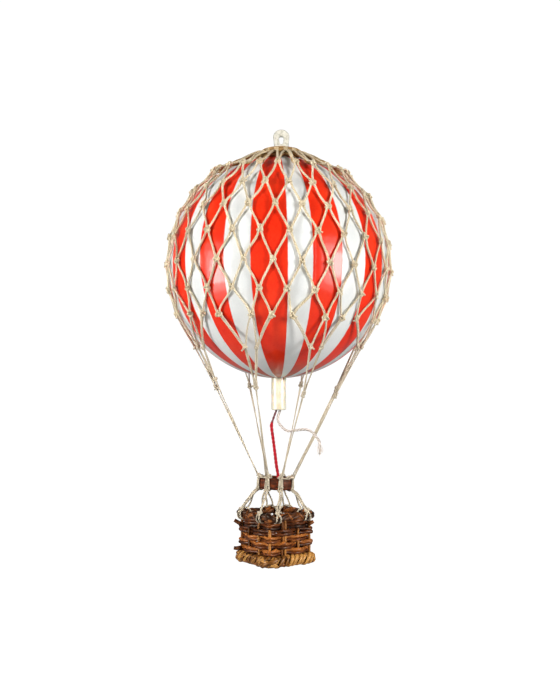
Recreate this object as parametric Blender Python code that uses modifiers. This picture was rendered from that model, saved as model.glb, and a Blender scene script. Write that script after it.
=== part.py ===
"""Hanging model of a hot air balloon: a striped ball in a knotted twine net, over a wicker basket.

Metres, +Z up. The origin is the point that the model hangs from, at the top of the hole in its clear
loop. The basket's sides lie along X and Y. Bearings are in degrees round +Z, from the model's front
towards its right as the viewer sees it, and heights are below the hanging point.
"""
import math

import bmesh
import bpy
from mathutils import Matrix, Vector

MM = 0.001
UP = Vector((0, 0, 1))
GAP = 0.3 * MM                   # what touches keeps this much room
WELD = 0.001 * MM                # points closer than this are one

# Where the front is: the corner of the basket turned a little to the viewer's left
FRONT_YAW = math.radians(-36)
RIGHT = Vector((math.cos(FRONT_YAW), math.sin(FRONT_YAW), 0))
FRONT = Vector((math.sin(FRONT_YAW), -math.cos(FRONT_YAW), 0))

# Ball
BALL_RADIUS = 42.5 * MM
BALL_CENTRE = -1.0 * MM * RIGHT - 51.5 * MM * UP
BALL_AXIS = Vector((BALL_CENTRE.x, BALL_CENTRE.y, 0))
BALL_SEGMENTS = 48
BALL_RINGS = 26
GORES = 24
GORE_SEAM = -11.3                # bearing of the left seam of the red gore at the front

# Hanging loop, a flat moulded eye with a tongue in the top of the ball
LOOP_TOP = 2.7 * MM
LOOP_HALF_WIDTH = 3.1 * MM
LOOP_THICKNESS = 2.3 * MM
LOOP_ROUNDING = 0.7 * MM
LOOP_FOOT_HALF_WIDTH = 2.3 * MM
LOOP_SHOULDER = 2.2 * MM         # from the middle of its arch down to where it starts to narrow
LOOP_HOLE_HALF_WIDTH = 0.95 * MM
LOOP_HOLE_DEPTH = 3.1 * MM
LOOP_HOLE_FOOT_HALF_WIDTH = 0.35 * MM
TONGUE_HALF_WIDTH = 1.1 * MM
TONGUE_DEPTH = 4.0 * MM
SOCKET_RADIUS = 2.0 * MM

# Twine
TWINE = 1.0 * MM                 # diameter of the net's cord
LINE_TWINE = 0.76 * MM           # diameter of a single line
LINE_CLEAR = GAP + LINE_TWINE / 2    # from a surface to the middle of a line laid on it

# Collar round the loop's foot, where the net is gathered
COLLAR_INNER = 2.95 * MM
COLLAR_OUTER = 6.3 * MM
COLLAR_TOP = -5.6 * MM
CROWN_RADIUS = 7.1 * MM
CROWN_HEIGHT = -6.7 * MM

# Net
COLUMNS = 24
COLUMN_PITCH = 360 / COLUMNS
NET_CROWDING = 6.0               # degrees by which the columns crowd towards the front
NET_CROWDED_AT = 5.0             # bearing where they are closest together
NET_TILT = 2.2                   # degrees by which the middle row is lower on the right than at the front
NET_DIP = 2.9                    # degrees by which the rows are lower at the front than at the sides
# row: latitude in degrees, bearing of its first knot, height over the ball's skin in mm
NET_ROWS = (
    (54.0, -1.5, 2.7),
    (39.0, 6.0, 2.1),
    (26.0, -2.5, 1.8),
    (13.0, 5.0, 1.6),
    (-0.7, -3.5, 1.5),
    (-13.8, 4.0, 1.5),
    (-26.5, -4.5, 1.5),
)
LAST_ROW = len(NET_ROWS)
LINE_COUNT = 8
COLUMNS_A_LINE = COLUMNS // LINE_COUNT
FIRST_LINE = -109.5              # bearing of the middle column of the first line, before crowding
KNOT_PULL = 3.0                  # degrees by which a line's outer knots are drawn towards its middle one
MERGE_SPREAD = 3.7               # degrees from a line's middle to the knots where its cords merge
MERGE_HEIGHT = -82.0 * MM
LEG_START = 1.6 * MM             # from a merge down to where its leg starts
# heights of the line knots, in mm
LINE_KNOTS = (-97.3, -96.3, -97.5, -100.8, -99.5, -97.7, -95.9, -96.4)
# share of the way from a line's leg to its knot, and from the knot to the ring, then its relative thickness
LEG_SHAPE = ((0.0, 1.28), (0.5, 0.85), (0.94, 1.02), (1.0, 2.3))
LINE_SHAPE = ((0.05, 1.1), (0.5, 1.0), (1.0, 1.0))

# Load ring, hung a little askew on the lines
RING_CENTRE = -2.3 * MM * RIGHT - 134.9 * MM * UP
RING_TILT = math.radians(-3)
RING_INNER = 5.4 * MM
RING_OUTER = 6.9 * MM
RING_HEIGHT = 4.5 * MM
RING_ROUNDS = 3
RING_BULGE = 0.35 * MM
# bearings round the ring at which the lines are hitched, the first line on the left at the back
RING_BEARINGS = (-110, -67, -26, 17, 69, 114, 158, 207)
HITCH_RADIUS = RING_OUTER + LINE_CLEAR
HITCH_TOP = RING_HEIGHT / 2 + LINE_CLEAR
HITCH_CORNER = 0.6               # share of a hitch's half size at which its corners are cut

# Basket, straight under the ring
BASKET_AXIS = Vector((RING_CENTRE.x, RING_CENTRE.y, 0))
BASKET_HALF = 12.0 * MM
BASKET_CORNER = 3.2 * MM
RIM_TOP = -145.4 * MM
RIM_RADIUS = 1.55 * MM
RIM_HALF = BASKET_HALF - RIM_RADIUS
BASE_BOTTOM = -165.5 * MM
BASE_HEIGHT = 4.5 * MM
BASE_THICKNESS = 2.9 * MM
FLOOR_BOTTOM = BASE_BOTTOM + 1.2 * MM
FLOOR_THICKNESS = 1.3 * MM
STAKES_A_SIDE = 3
STAKE_RADIUS = 0.6 * MM
WALL_HALF = 10.05 * MM           # half the side of the square that the stakes stand on
WALL_CORNER = 2.4 * MM
COURSES = 5
COURSE_PITCH = 2.2 * MM
REED_HEIGHT = 1.9 * MM
REED_THICKNESS = 1.0 * MM

# Basket lines, in the order of the hitches they hang from:
# side of the basket as its outward axis, then the place along that side as a share of its half length
RIM_TIES = (
    ("+Y", -0.72),
    ("-X", 0.76),
    ("-X", -0.46),
    ("-Y", -0.60),
    ("-Y", 0.74),
    ("+X", -0.46),
    ("+X", 0.64),
    ("+Y", 0.46),
)
TIE_REACH = RIM_RADIUS + LINE_CLEAR
TIE_CORNER = 0.42
LINE_SAG = 0.6 * MM              # how far inward a basket line bends below the ring
# share of the way from the ring to the rim, then relative thickness
BASKET_LINE_SHAPE = ((0.0, 1.7), (0.15, 1.5), (0.4, 1.0), (0.75, 1.0), (1.0, 1.3))

# Mouth tube
TUBE_RADIUS = 2.9 * MM
TUBE_BOTTOM = -106.5 * MM
TUBE_BORE_RADIUS = 2.05 * MM
TUBE_BORE_DEPTH = 4.0 * MM
SPIGOT_RADIUS = 1.6 * MM
SPIGOT_DEPTH = 4.0 * MM

# Free cords: how far right of the hanging point, how far to the front of it, and height, in mm
RED_DIAMETER = 1.05 * MM
RED_ROUTE = (
    (-1.95, 0.0, -103.4),
    (-1.95, 0.0, -106.4),
    (-2.6, 0.1, -108.4),
    (-3.3, 0.3, -110.4),
    (-3.8, 0.5, -112.3),
    (-3.65, 0.8, -114.4),
    (-3.1, 1.3, -118.3),
    (-2.5, 2.0, -122.9),
    (-1.9, 2.8, -127.9),
    (-1.3, 3.3, -131.3),
    (-1.2, 3.5, -134.2),
)
WHITE_DIAMETER = 1.1 * MM
WHITE_ROUTE = (
    (-0.45, 0.0, -103.4),
    (-0.5, 0.0, -106.4),
    (-1.3, 0.4, -109.2),
    (-1.0, 1.2, -111.4),
    (0.5, 2.2, -113.3),
    (2.1, 3.2, -114.45),
    (3.6, 4.2, -114.55),
    (5.85, 5.6, -114.2),
    (8.6, 7.2, -113.8),
    (10.9, 8.4, -114.3),
    (12.45, 9.2, -115.6),
    (13.4, 9.6, -116.8),
    (14.3, 9.9, -118.1),
    (14.6, 10.1, -119.9),
    (14.6, 10.2, -123.1),
)

COLOURS = {
    # name: colour, roughness
    "red_paint": ((0.78, 0.06, 0.03), 0.18),
    "white_paint": ((0.86, 0.86, 0.82), 0.18),
    "clear_plastic": ((0.90, 0.88, 0.80), 0.15),
    "brown_twine": ((0.34, 0.20, 0.08), 0.85),
    "twine": ((0.80, 0.68, 0.46), 0.85),
    "ivory_plastic": ((0.93, 0.87, 0.68), 0.30),
    "red_yarn": ((0.55, 0.02, 0.04), 0.70),
    "white_yarn": ((0.86, 0.80, 0.74), 0.80),
    "dark_rattan": ((0.14, 0.04, 0.02), 0.50),
    "wicker": ((0.30, 0.11, 0.04), 0.50),
    "splint": ((0.42, 0.22, 0.08), 0.50),
}


def clear_scene():
    for obj in list(bpy.data.objects):
        bpy.data.objects.remove(obj, do_unlink=True)


def new_collection(name):
    collection = bpy.data.collections.new(name)
    bpy.context.scene.collection.children.link(collection)
    return collection


def make_material(name):
    colour, roughness = COLOURS[name]
    material = bpy.data.materials.new(name)
    material.use_nodes = True
    shader = material.node_tree.nodes["Principled BSDF"]
    shader.inputs["Base Color"].default_value = (*colour, 1)
    shader.inputs["Roughness"].default_value = roughness
    shader.inputs["Metallic"].default_value = 0
    return material


def bearing_direction(bearing):
    """Level unit vector at a bearing, from the front towards the right."""
    angle = math.radians(bearing)
    return math.cos(angle) * FRONT + math.sin(angle) * RIGHT


def from_front(right, front, height):
    """Point given by its distance right of and in front of the hanging point, in mm."""
    return MM * (right * RIGHT + front * FRONT + height * UP)


def smooth_through(points, step):
    """Evenly spaced points on a smooth curve through the given points (Catmull-Rom)."""
    ends = [2 * points[0] - points[1], *points, 2 * points[-1] - points[-2]]
    dense = []
    for a, b, c, d in zip(ends, ends[1:], ends[2:], ends[3:]):
        for i in range(20):
            t = i / 20
            dense.append(0.5 * (2 * b + t * (c - a) + t * t * (2 * a - 5 * b + 4 * c - d)
                                + t ** 3 * (3 * b - a - 3 * c + d)))
    dense.append(points[-1])
    length = sum((q - p).length for p, q in zip(dense, dense[1:]))
    count = max(2, round(length / step))
    even = [dense[0]]
    walked = 0.0
    for p, q in zip(dense, dense[1:]):
        span = (q - p).length
        while len(even) < count and walked + span >= length * len(even) / count:
            even.append(p.lerp(q, (length * len(even) / count - walked) / span))
        walked += span
    even.append(dense[-1])
    return even


def curve_object(name, splines, radius, extrude=0.0, sides=2, flat=False):
    """Curve of polylines: each spline is (points, cyclic) or (points, cyclic, point radii)."""
    curve = bpy.data.curves.new(name, "CURVE")
    curve.dimensions = "2D" if flat else "3D"
    curve.fill_mode = "BOTH" if flat else "FULL"
    curve.bevel_depth = radius
    curve.bevel_resolution = sides
    curve.extrude = extrude
    curve.use_fill_caps = not flat
    curve.twist_mode = "Z_UP" if extrude else "MINIMUM"
    for points, cyclic, *radii in splines:
        spline = curve.splines.new("POLY")
        spline.points.add(len(points) - 1)
        for i, place in enumerate(points):
            spline.points[i].co = (*place, 1)
            spline.points[i].radius = radii[0][i] if radii else 1.0
        spline.use_cyclic_u = cyclic
    return bpy.data.objects.new(name, curve)


def as_mesh(obj, shift=Vector()):
    """Closed mesh object with the evaluated shape of a curve object, its caps welded."""
    bpy.context.scene.collection.objects.link(obj)
    bpy.context.view_layer.update()
    evaluated = obj.evaluated_get(bpy.context.evaluated_depsgraph_get())
    mesh = bpy.data.meshes.new_from_object(evaluated)
    mesh.transform(Matrix.Translation(shift) @ obj.matrix_world)
    name = obj.name
    bpy.data.objects.remove(obj, do_unlink=True)
    bm = bmesh.new()
    bm.from_mesh(mesh)
    bmesh.ops.remove_doubles(bm, verts=bm.verts, dist=WELD)
    bmesh.ops.recalc_face_normals(bm, faces=bm.faces)
    bm.to_mesh(mesh)
    bm.free()
    return bpy.data.objects.new(name, mesh)


def hide_cutter(obj, cutters):
    cutters.objects.link(obj)
    obj.hide_render = True
    obj.display_type = "WIRE"


def add_boolean(obj, other, operation, cutters):
    hide_cutter(other, cutters)
    modifier = obj.modifiers.new(other.name, "BOOLEAN")
    modifier.operation = operation
    modifier.solver = "EXACT"
    modifier.object = other


def place(obj, parts, *materials):
    """Put a finished sub-part in the collection with its materials, shaded smooth."""
    parts.objects.link(obj)
    for material in materials:
        obj.data.materials.append(material)
    if isinstance(obj.data, bpy.types.Mesh):
        obj.data.shade_smooth()
        obj.data.set_sharp_from_angle(angle=math.radians(40))


def cylinder(name, radius, low, high, centre, sides=16):
    """Upright cylinder between two heights."""
    mesh = bpy.data.meshes.new(name)
    bm = bmesh.new()
    bmesh.ops.create_cone(bm, cap_ends=True, segments=sides, radius1=radius, radius2=radius,
                          depth=high - low)
    bmesh.ops.translate(bm, verts=bm.verts, vec=(centre.x, centre.y, (low + high) / 2))
    bm.to_mesh(mesh)
    bm.free()
    return bpy.data.objects.new(name, mesh)


def turned(name, profile, steps):
    """Solid turned from a closed profile of (radius, height) points that runs down its outer side."""
    mesh = bpy.data.meshes.new(name)
    bm = bmesh.new()
    verts = [bm.verts.new((radius, 0, height)) for radius, height in profile]
    for a, b in zip(verts, verts[1:]):
        bm.edges.new((a, b))
    if profile[0][0] > 0:
        bm.edges.new((verts[-1], verts[0]))
    bm.to_mesh(mesh)
    bm.free()
    obj = bpy.data.objects.new(name, mesh)
    screw = obj.modifiers.new("Screw", "SCREW")
    screw.axis = "Z"
    screw.steps = steps
    screw.render_steps = steps
    screw.use_merge_vertices = True
    screw.merge_threshold = WELD
    return obj


def make_envelope(parts, cutters, materials):
    """Solid ball with its gores in turn red and white, and a socket at each pole."""
    mesh = bpy.data.meshes.new("envelope")
    bm = bmesh.new()
    bmesh.ops.create_uvsphere(bm, u_segments=BALL_SEGMENTS, v_segments=BALL_RINGS, radius=BALL_RADIUS)
    seam = bearing_direction(GORE_SEAM)
    seam_angle = math.atan2(seam.y, seam.x)
    bmesh.ops.rotate(bm, verts=bm.verts, cent=(0, 0, 0), matrix=Matrix.Rotation(seam_angle, 3, "Z"))
    for face in bm.faces:
        middle = face.calc_center_median()
        turn = (math.atan2(middle.y, middle.x) - seam_angle) % math.tau
        face.material_index = int(turn / math.tau * GORES) % 2
    bmesh.ops.translate(bm, verts=bm.verts, vec=BALL_CENTRE)
    bm.to_mesh(mesh)
    bm.free()
    ball = bpy.data.objects.new("envelope", mesh)
    top = BALL_CENTRE.z + BALL_RADIUS
    bottom = BALL_CENTRE.z - BALL_RADIUS
    loop_socket = cylinder("loop_socket", SOCKET_RADIUS, top - TONGUE_DEPTH - GAP, top + MM, Vector())
    add_boolean(ball, loop_socket, "DIFFERENCE", cutters)
    tube_socket = cylinder("tube_socket", SPIGOT_RADIUS + GAP, bottom - MM,
                           bottom + SPIGOT_DEPTH + GAP, BALL_AXIS)
    add_boolean(ball, tube_socket, "DIFFERENCE", cutters)
    place(ball, parts, materials["red_paint"], materials["white_paint"])


def make_hanging_loop(parts, materials):
    """Flat eye with a pear-shaped hole, narrowed foot and a tongue into the ball."""
    foot = BALL_CENTRE.z + BALL_RADIUS + GAP
    arch_centre = LOOP_TOP - LOOP_HALF_WIDTH
    # the curve's bevel grows outward and into the hole, so the outline is drawn that far back
    inset = LOOP_ROUNDING
    arc = [math.radians(a) for a in range(0, 181, 20)]
    arch = LOOP_HALF_WIDTH - inset
    outer = [(arch * math.cos(a), arch_centre + arch * math.sin(a)) for a in arc]
    left = [
        (-LOOP_HALF_WIDTH + inset, arch_centre - LOOP_SHOULDER),
        (-LOOP_FOOT_HALF_WIDTH + inset, COLLAR_TOP),
        (-LOOP_FOOT_HALF_WIDTH + inset, foot + inset),
        (-TONGUE_HALF_WIDTH + inset, foot + inset),
        (-TONGUE_HALF_WIDTH + inset, foot - TONGUE_DEPTH + inset),
    ]
    right = [(-x, z) for x, z in reversed(left)]
    hole_centre = -LOOP_HOLE_HALF_WIDTH
    hole = [((LOOP_HOLE_HALF_WIDTH + inset) * math.cos(a),
             hole_centre + (LOOP_HOLE_HALF_WIDTH + inset) * math.sin(a)) for a in arc]
    hole += [(side * (LOOP_HOLE_FOOT_HALF_WIDTH + inset), -LOOP_HOLE_DEPTH - inset) for side in (-1, 1)]
    outline = [(x, z, 0) for x, z in outer + left + right]
    pear = [(x, z, 0) for x, z in hole]
    loop = curve_object("hanging_loop", [(outline, True), (pear, True)], inset,
                        extrude=LOOP_THICKNESS / 2 - inset, sides=1, flat=True)
    stand = Matrix.Rotation(FRONT_YAW, 4, "Z") @ Matrix.Rotation(math.pi / 2, 4, "X")
    loop.matrix_world = stand
    place(as_mesh(loop), parts, materials["clear_plastic"])


def make_crown_ring(parts, materials):
    """Collar of wound twine that stands round the loop's foot, its turns as three rounds."""
    bottom = BALL_CENTRE.z + BALL_RADIUS + GAP
    middle = (COLLAR_INNER + COLLAR_OUTER) / 2
    profile = [
        (COLLAR_INNER, COLLAR_TOP - 0.9 * MM),
        (COLLAR_INNER + 0.6 * MM, COLLAR_TOP),
        (middle + 0.5 * MM, COLLAR_TOP),
        (COLLAR_OUTER - 0.4 * MM, COLLAR_TOP - 0.8 * MM),
        (COLLAR_OUTER, COLLAR_TOP - 2.0 * MM),
        (COLLAR_OUTER, bottom + 0.8 * MM),
        (COLLAR_OUTER - 0.6 * MM, bottom),
        (COLLAR_INNER, bottom),
    ]
    place(turned("crown_ring", profile, 24), parts, materials["brown_twine"])


def crowd(bearing):
    """Bearing of a net column once the columns crowd towards the front."""
    return bearing - NET_CROWDING * math.sin(math.radians(bearing - NET_CROWDED_AT))


def net_knot(row, column):
    """Place of a knot: rows count from 1 at the top, columns from the front to the right."""
    latitude, first, stand_off = NET_ROWS[row - 1]
    bearing = first + COLUMN_PITCH * column
    if row == LAST_ROW:
        place_in_line = (column + 1) % COLUMNS_A_LINE - 1
        bearing -= KNOT_PULL * place_in_line
    bearing = crowd(bearing)
    turn = math.radians(bearing)
    tilt = NET_TILT * math.sin(turn) * math.cos(math.radians(latitude))
    dip = NET_DIP * math.cos(turn)
    latitude = math.radians(latitude - tilt - dip)
    radius = BALL_RADIUS + stand_off * MM
    level = radius * math.cos(latitude) * bearing_direction(bearing)
    return BALL_CENTRE + level + radius * math.sin(latitude) * UP


def line_bearing(line):
    """Bearing of a suspension line, counted from 0."""
    return crowd(FIRST_LINE + 360 / LINE_COUNT * line)


def ring_matrix():
    """Frame of the load ring: its centre and its slight tilt about the front direction."""
    return Matrix.Translation(RING_CENTRE) @ Matrix.Rotation(RING_TILT, 4, FRONT)


def ring_point(line, radius, height):
    """Point in the load ring's frame at a line's hitch."""
    return ring_matrix() @ (radius * bearing_direction(RING_BEARINGS[line]) + height * UP)


def middle_column(line):
    """Column of the middle one of a line's three knots."""
    return round((FIRST_LINE + 360 / LINE_COUNT * line - NET_ROWS[-1][1]) / COLUMN_PITCH)


def merge_point(line, side):
    """Place where two of a line's three cords merge, left (-1) or right (+1) of its middle."""
    knot = net_knot(LAST_ROW, middle_column(line))
    ring = ring_point(line, HITCH_RADIUS, HITCH_TOP)
    down = knot.lerp(ring, (knot.z - MERGE_HEIGHT) / (knot.z - ring.z))
    radius = (down - BALL_AXIS).xy.length
    level = radius * bearing_direction(line_bearing(line) + side * MERGE_SPREAD)
    dip = math.tan(math.radians(NET_DIP)) * level.dot(FRONT)
    return BALL_AXIS + level + (MERGE_HEIGHT - dip) * UP


def make_net(parts, materials):
    """Lattice with a vertex at each knot, turned into cords by a Wireframe modifier."""
    mesh = bpy.data.meshes.new("net")
    bm = bmesh.new()
    crown = [bm.verts.new(CROWN_RADIUS * bearing_direction(crowd(NET_ROWS[1][1] + COLUMN_PITCH * k))
                          + CROWN_HEIGHT * UP) for k in range(COLUMNS)]
    rows = [crown]
    for row in range(1, LAST_ROW + 1):
        rows.append([bm.verts.new(net_knot(row, k)) for k in range(COLUMNS)])
    for k in range(COLUMNS):
        bm.faces.new((crown[k - 1], rows[1][k], crown[k]))
    for row in range(1, LAST_ROW):
        step = 1 if row % 2 else 0
        for k in range(COLUMNS):
            left = rows[row][k - 1 + step]
            right = rows[row][(k + step) % COLUMNS]
            bm.faces.new((rows[row - 1][k], left, rows[row + 1][k], right))
    for line in range(LINE_COUNT):
        middle = middle_column(line)
        for side in (-1, 1):
            low = bm.verts.new(merge_point(line, side))
            above = rows[LAST_ROW - 1][(middle + min(side, 0)) % COLUMNS]
            near = rows[LAST_ROW][middle % COLUMNS]
            far = rows[LAST_ROW][(middle + side) % COLUMNS]
            left, right = (near, far) if side > 0 else (far, near)
            bm.faces.new((above, left, low, right))
    bmesh.ops.recalc_face_normals(bm, faces=bm.faces)
    bm.to_mesh(mesh)
    bm.free()
    net = bpy.data.objects.new("net", mesh)
    wire = net.modifiers.new("Wireframe", "WIREFRAME")
    wire.thickness = TWINE
    wire.use_even_offset = True
    wire.use_boundary = True
    wire.use_replace = True
    place(net, parts, materials["twine"])


def twine_mesh(name, points, radii=None):
    """Mesh of a line's twine through points: closed in a loop where it has no relative thicknesses."""
    spline = (points, True) if radii is None else (points, False, radii)
    return as_mesh(curve_object(name, [spline], LINE_TWINE / 2))


def loop_round(centre, out, up, half_out, half_up, corner):
    """Closed loop of points with cut corners, in the plane of two directions."""
    shape = ((1, -corner), (1, corner), (corner, 1), (-corner, 1),
             (-1, corner), (-1, -corner), (-corner, -1), (corner, -1))
    return [centre + a * half_out * out + b * half_up * up for a, b in shape]


def make_suspension_line(line, parts, cutters, materials):
    """Two doubled legs that meet in a knot, a single line below it, and a hitch round the ring."""
    name = f"suspension_line_{line + 1}"
    ring_top = ring_point(line, HITCH_RADIUS, HITCH_TOP)
    starts = []
    for side in (-1, 1):
        merge = merge_point(line, side)
        starts.append(merge + LEG_START * (ring_top - merge).normalized())
    middle = (starts[0] + starts[1]) / 2
    knot_share = (middle.z - LINE_KNOTS[line] * MM) / (middle.z - ring_top.z)
    knot = middle.lerp(ring_top, knot_share)
    points = [starts[0].lerp(knot, share) for share, _ in LEG_SHAPE]
    points += [knot.lerp(ring_top, share) for share, _ in LINE_SHAPE]
    trunk = twine_mesh(name, points, [radius for _, radius in LEG_SHAPE + LINE_SHAPE])
    # the other leg ends thin inside the knot
    points = [starts[1].lerp(knot, share) for share, _ in LEG_SHAPE[:2]] + [knot]
    radii = [radius for _, radius in LEG_SHAPE[:2]]
    add_boolean(trunk, twine_mesh(f"{name}_leg", points, radii + radii[-1:]), "UNION", cutters)
    frame = ring_matrix().to_3x3()
    out = frame @ bearing_direction(RING_BEARINGS[line])
    ring_middle = (RING_INNER + RING_OUTER) / 2
    hitch = loop_round(ring_point(line, ring_middle, 0), out, frame @ UP, HITCH_RADIUS - ring_middle,
                       HITCH_TOP, HITCH_CORNER)
    add_boolean(trunk, twine_mesh(f"{name}_hitch", hitch), "UNION", cutters)
    place(trunk, parts, materials["twine"])


def make_mouth_tube(parts, materials):
    """Tube with a rounded end, a blind bore for the cords and a spigot into the ball."""
    top = BALL_CENTRE.z - BALL_RADIUS - GAP
    profile = [
        (0, top + SPIGOT_DEPTH),
        (SPIGOT_RADIUS, top + SPIGOT_DEPTH),
        (SPIGOT_RADIUS, top),
        (TUBE_RADIUS, top),
        (TUBE_RADIUS, TUBE_BOTTOM + 0.5 * MM),
        (TUBE_RADIUS - 0.2 * MM, TUBE_BOTTOM + 0.12 * MM),
        (TUBE_RADIUS - 0.5 * MM, TUBE_BOTTOM),
        (TUBE_BORE_RADIUS, TUBE_BOTTOM),
        (TUBE_BORE_RADIUS, TUBE_BOTTOM + TUBE_BORE_DEPTH),
        (0, TUBE_BOTTOM + TUBE_BORE_DEPTH),
    ]
    tube = turned("mouth_tube", profile, 24)
    tube.location = BALL_AXIS
    place(tube, parts, materials["ivory_plastic"])


def make_cord(name, route, diameter, parts, material):
    """Plain tube along a cord's route."""
    points = smooth_through([from_front(*place_mm) for place_mm in route], 2.2 * diameter)
    cord = as_mesh(curve_object(name, [(points, False)], diameter / 2, sides=2))
    place(cord, parts, material)


def make_load_ring(parts, materials):
    """Hoop of rattan rounds laid on each other."""
    round_height = RING_HEIGHT / RING_ROUNDS
    outer = []
    for i in range(RING_ROUNDS):
        top = RING_HEIGHT / 2 - i * round_height
        outer += [(RING_OUTER - RING_BULGE, top), (RING_OUTER, top - round_height * 0.3),
                  (RING_OUTER, top - round_height * 0.7)]
    outer.append((RING_OUTER - RING_BULGE, -RING_HEIGHT / 2))
    inner = [(RING_INNER, -RING_HEIGHT / 2), (RING_INNER, RING_HEIGHT / 2)]
    ring = turned("load_ring", outer + inner, 32)
    ring.matrix_world = ring_matrix()
    place(ring, parts, materials["dark_rattan"])


def rounded_square(half, corner, corner_points=4):
    """Points of a level rounded square, anticlockwise from +X."""
    points = []
    for quarter in range(4):
        turn = Matrix.Rotation(math.radians(90 * quarter), 3, "Z")
        centre = turn @ Vector((half - corner, half - corner, 0))
        for i in range(corner_points + 1):
            angle = math.radians(90 * quarter + 90 * i / corner_points)
            points.append(centre + corner * Vector((math.cos(angle), math.sin(angle), 0)))
    return points


def side_frame(side):
    """Outward direction of a basket side, and the direction along it."""
    axis = Vector((1, 0, 0)) if side[1] == "X" else Vector((0, 1, 0))
    out = axis if side[0] == "+" else -axis
    along = Vector((0, 1, 0)) if side[1] == "X" else Vector((1, 0, 0))
    return out, along


def make_basket_line(line, parts, cutters, materials):
    """Twine from just under the ring's hitch to a loop round the basket's rim."""
    name = f"basket_line_{line + 1}"
    side, along_share = RIM_TIES[line]
    out, along = side_frame(side)
    rim = BASKET_AXIS + RIM_HALF * (out + along_share * along) + (RIM_TOP - RIM_RADIUS) * UP
    tie = twine_mesh(f"{name}_tie", loop_round(rim, out, UP, TIE_REACH, TIE_REACH, TIE_CORNER))
    start = ring_point(line, HITCH_RADIUS - LINE_TWINE / 4, -HITCH_TOP - LINE_CLEAR)
    end = rim + TIE_REACH * UP
    outward = Vector((end.x - start.x, end.y - start.y, 0)).normalized()
    points = [start.lerp(end, share) - LINE_SAG * math.sin(math.pi * share) * outward
              for share, _ in BASKET_LINE_SHAPE]
    trunk = twine_mesh(name, points, [radius for _, radius in BASKET_LINE_SHAPE])
    add_boolean(trunk, tie, "UNION", cutters)
    place(trunk, parts, materials["twine"])


def stake_places():
    """Places and outward normals of the stakes, round the wall from the middle of the +X side."""
    places = []
    for side in range(4):
        turn = Matrix.Rotation(math.radians(90 * side), 3, "Z")
        for i in range(STAKES_A_SIDE):
            along = -1 + 2 * i / STAKES_A_SIDE
            spot = Vector((WALL_HALF, along * WALL_HALF, 0))
            normal = Vector((1, 0, 0))
            if i == 0:
                cut = WALL_CORNER * (1 - math.sqrt(0.5))
                spot = Vector((WALL_HALF - cut, -WALL_HALF + cut, 0))
                normal = Vector((1, -1, 0)).normalized()
            places.append((turn @ spot, turn @ normal))
    return places


def make_basket_rim(parts, materials):
    """Rolled rim on a rounded square."""
    middle = BASKET_AXIS + (RIM_TOP - RIM_RADIUS) * UP
    points = [middle + p for p in rounded_square(RIM_HALF, BASKET_CORNER - RIM_RADIUS)]
    rim = as_mesh(curve_object("basket_rim", [(points, True)], RIM_RADIUS, sides=3))
    place(rim, parts, materials["wicker"])


def make_basket_weaver(course, parts, materials):
    """One course: a flat reed that runs in front of one stake and behind the next."""
    swing = STAKE_RADIUS + REED_THICKNESS / 2 + GAP
    stakes = stake_places()
    height = BASE_BOTTOM + BASE_HEIGHT + GAP + REED_HEIGHT / 2 + COURSE_PITCH * course
    points = []
    for k, (spot, normal) in enumerate(stakes):
        next_spot, next_normal = stakes[(k + 1) % len(stakes)]
        side = -1 if (k + course) % 2 == 0 else 1
        for share, swing_share in ((0.0, 1.0), (0.3, 0.75), (0.7, -0.75)):
            middle = spot.lerp(next_spot, share)
            facing = normal.lerp(next_normal, share).normalized()
            points.append(BASKET_AXIS + middle + side * swing_share * swing * facing + height * UP)
    name = f"basket_weaver_{course + 1}"
    extra = (REED_HEIGHT - REED_THICKNESS) / 2
    reed = as_mesh(curve_object(name, [(points, True)], REED_THICKNESS / 2, extrude=extra, sides=0))
    place(reed, parts, materials["wicker"])


def make_basket_base(parts, cutters, materials):
    """Bound base border with the floor and the stakes."""
    inset = BASE_THICKNESS / 2
    outline = [BASKET_AXIS + p for p in rounded_square(BASKET_HALF - inset, BASKET_CORNER - inset)]
    points = [p + (BASE_BOTTOM + BASE_HEIGHT / 2) * UP for p in outline]
    extra = (BASE_HEIGHT - BASE_THICKNESS) / 2
    base = as_mesh(curve_object("basket_base", [(points, True)], inset, extrude=extra, sides=3))
    floor = as_mesh(curve_object("floor", [(outline, True)], 0, extrude=FLOOR_THICKNESS / 2, flat=True),
                    (FLOOR_BOTTOM + FLOOR_THICKNESS / 2) * UP)
    add_boolean(base, floor, "UNION", cutters)
    top = RIM_TOP - 2 * RIM_RADIUS - GAP
    for k, (spot, _) in enumerate(stake_places()):
        stake = cylinder(f"stake_{k + 1}", STAKE_RADIUS, BASE_BOTTOM + BASE_HEIGHT / 2, top,
                         BASKET_AXIS + spot, sides=8)
        add_boolean(base, stake, "UNION", cutters)
    place(base, parts, materials["splint"])


def main():
    clear_scene()
    parts = new_collection("hot_air_balloon_model")
    cutters = new_collection("cutters")
    materials = {name: make_material(name) for name in COLOURS}
    make_envelope(parts, cutters, materials)
    make_hanging_loop(parts, materials)
    make_crown_ring(parts, materials)
    make_net(parts, materials)
    make_mouth_tube(parts, materials)
    make_cord("red_cord", RED_ROUTE, RED_DIAMETER, parts, materials["red_yarn"])
    make_cord("white_cord", WHITE_ROUTE, WHITE_DIAMETER, parts, materials["white_yarn"])
    make_load_ring(parts, materials)
    for line in range(LINE_COUNT):
        make_suspension_line(line, parts, cutters, materials)
        make_basket_line(line, parts, cutters, materials)
    make_basket_rim(parts, materials)
    for course in range(COURSES):
        make_basket_weaver(course, parts, materials)
    make_basket_base(parts, cutters, materials)


main()
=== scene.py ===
"""Looks of the hanging hot air balloon model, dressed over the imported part.

Metres, +Z up, in the part's own frame: the origin is the point that the model hangs from. Bearings are
in degrees round +Z, from the model's front towards its right, and sizes that end in a comment or a table
of mm are multiplied by MM where they are used.
"""
import math

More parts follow.
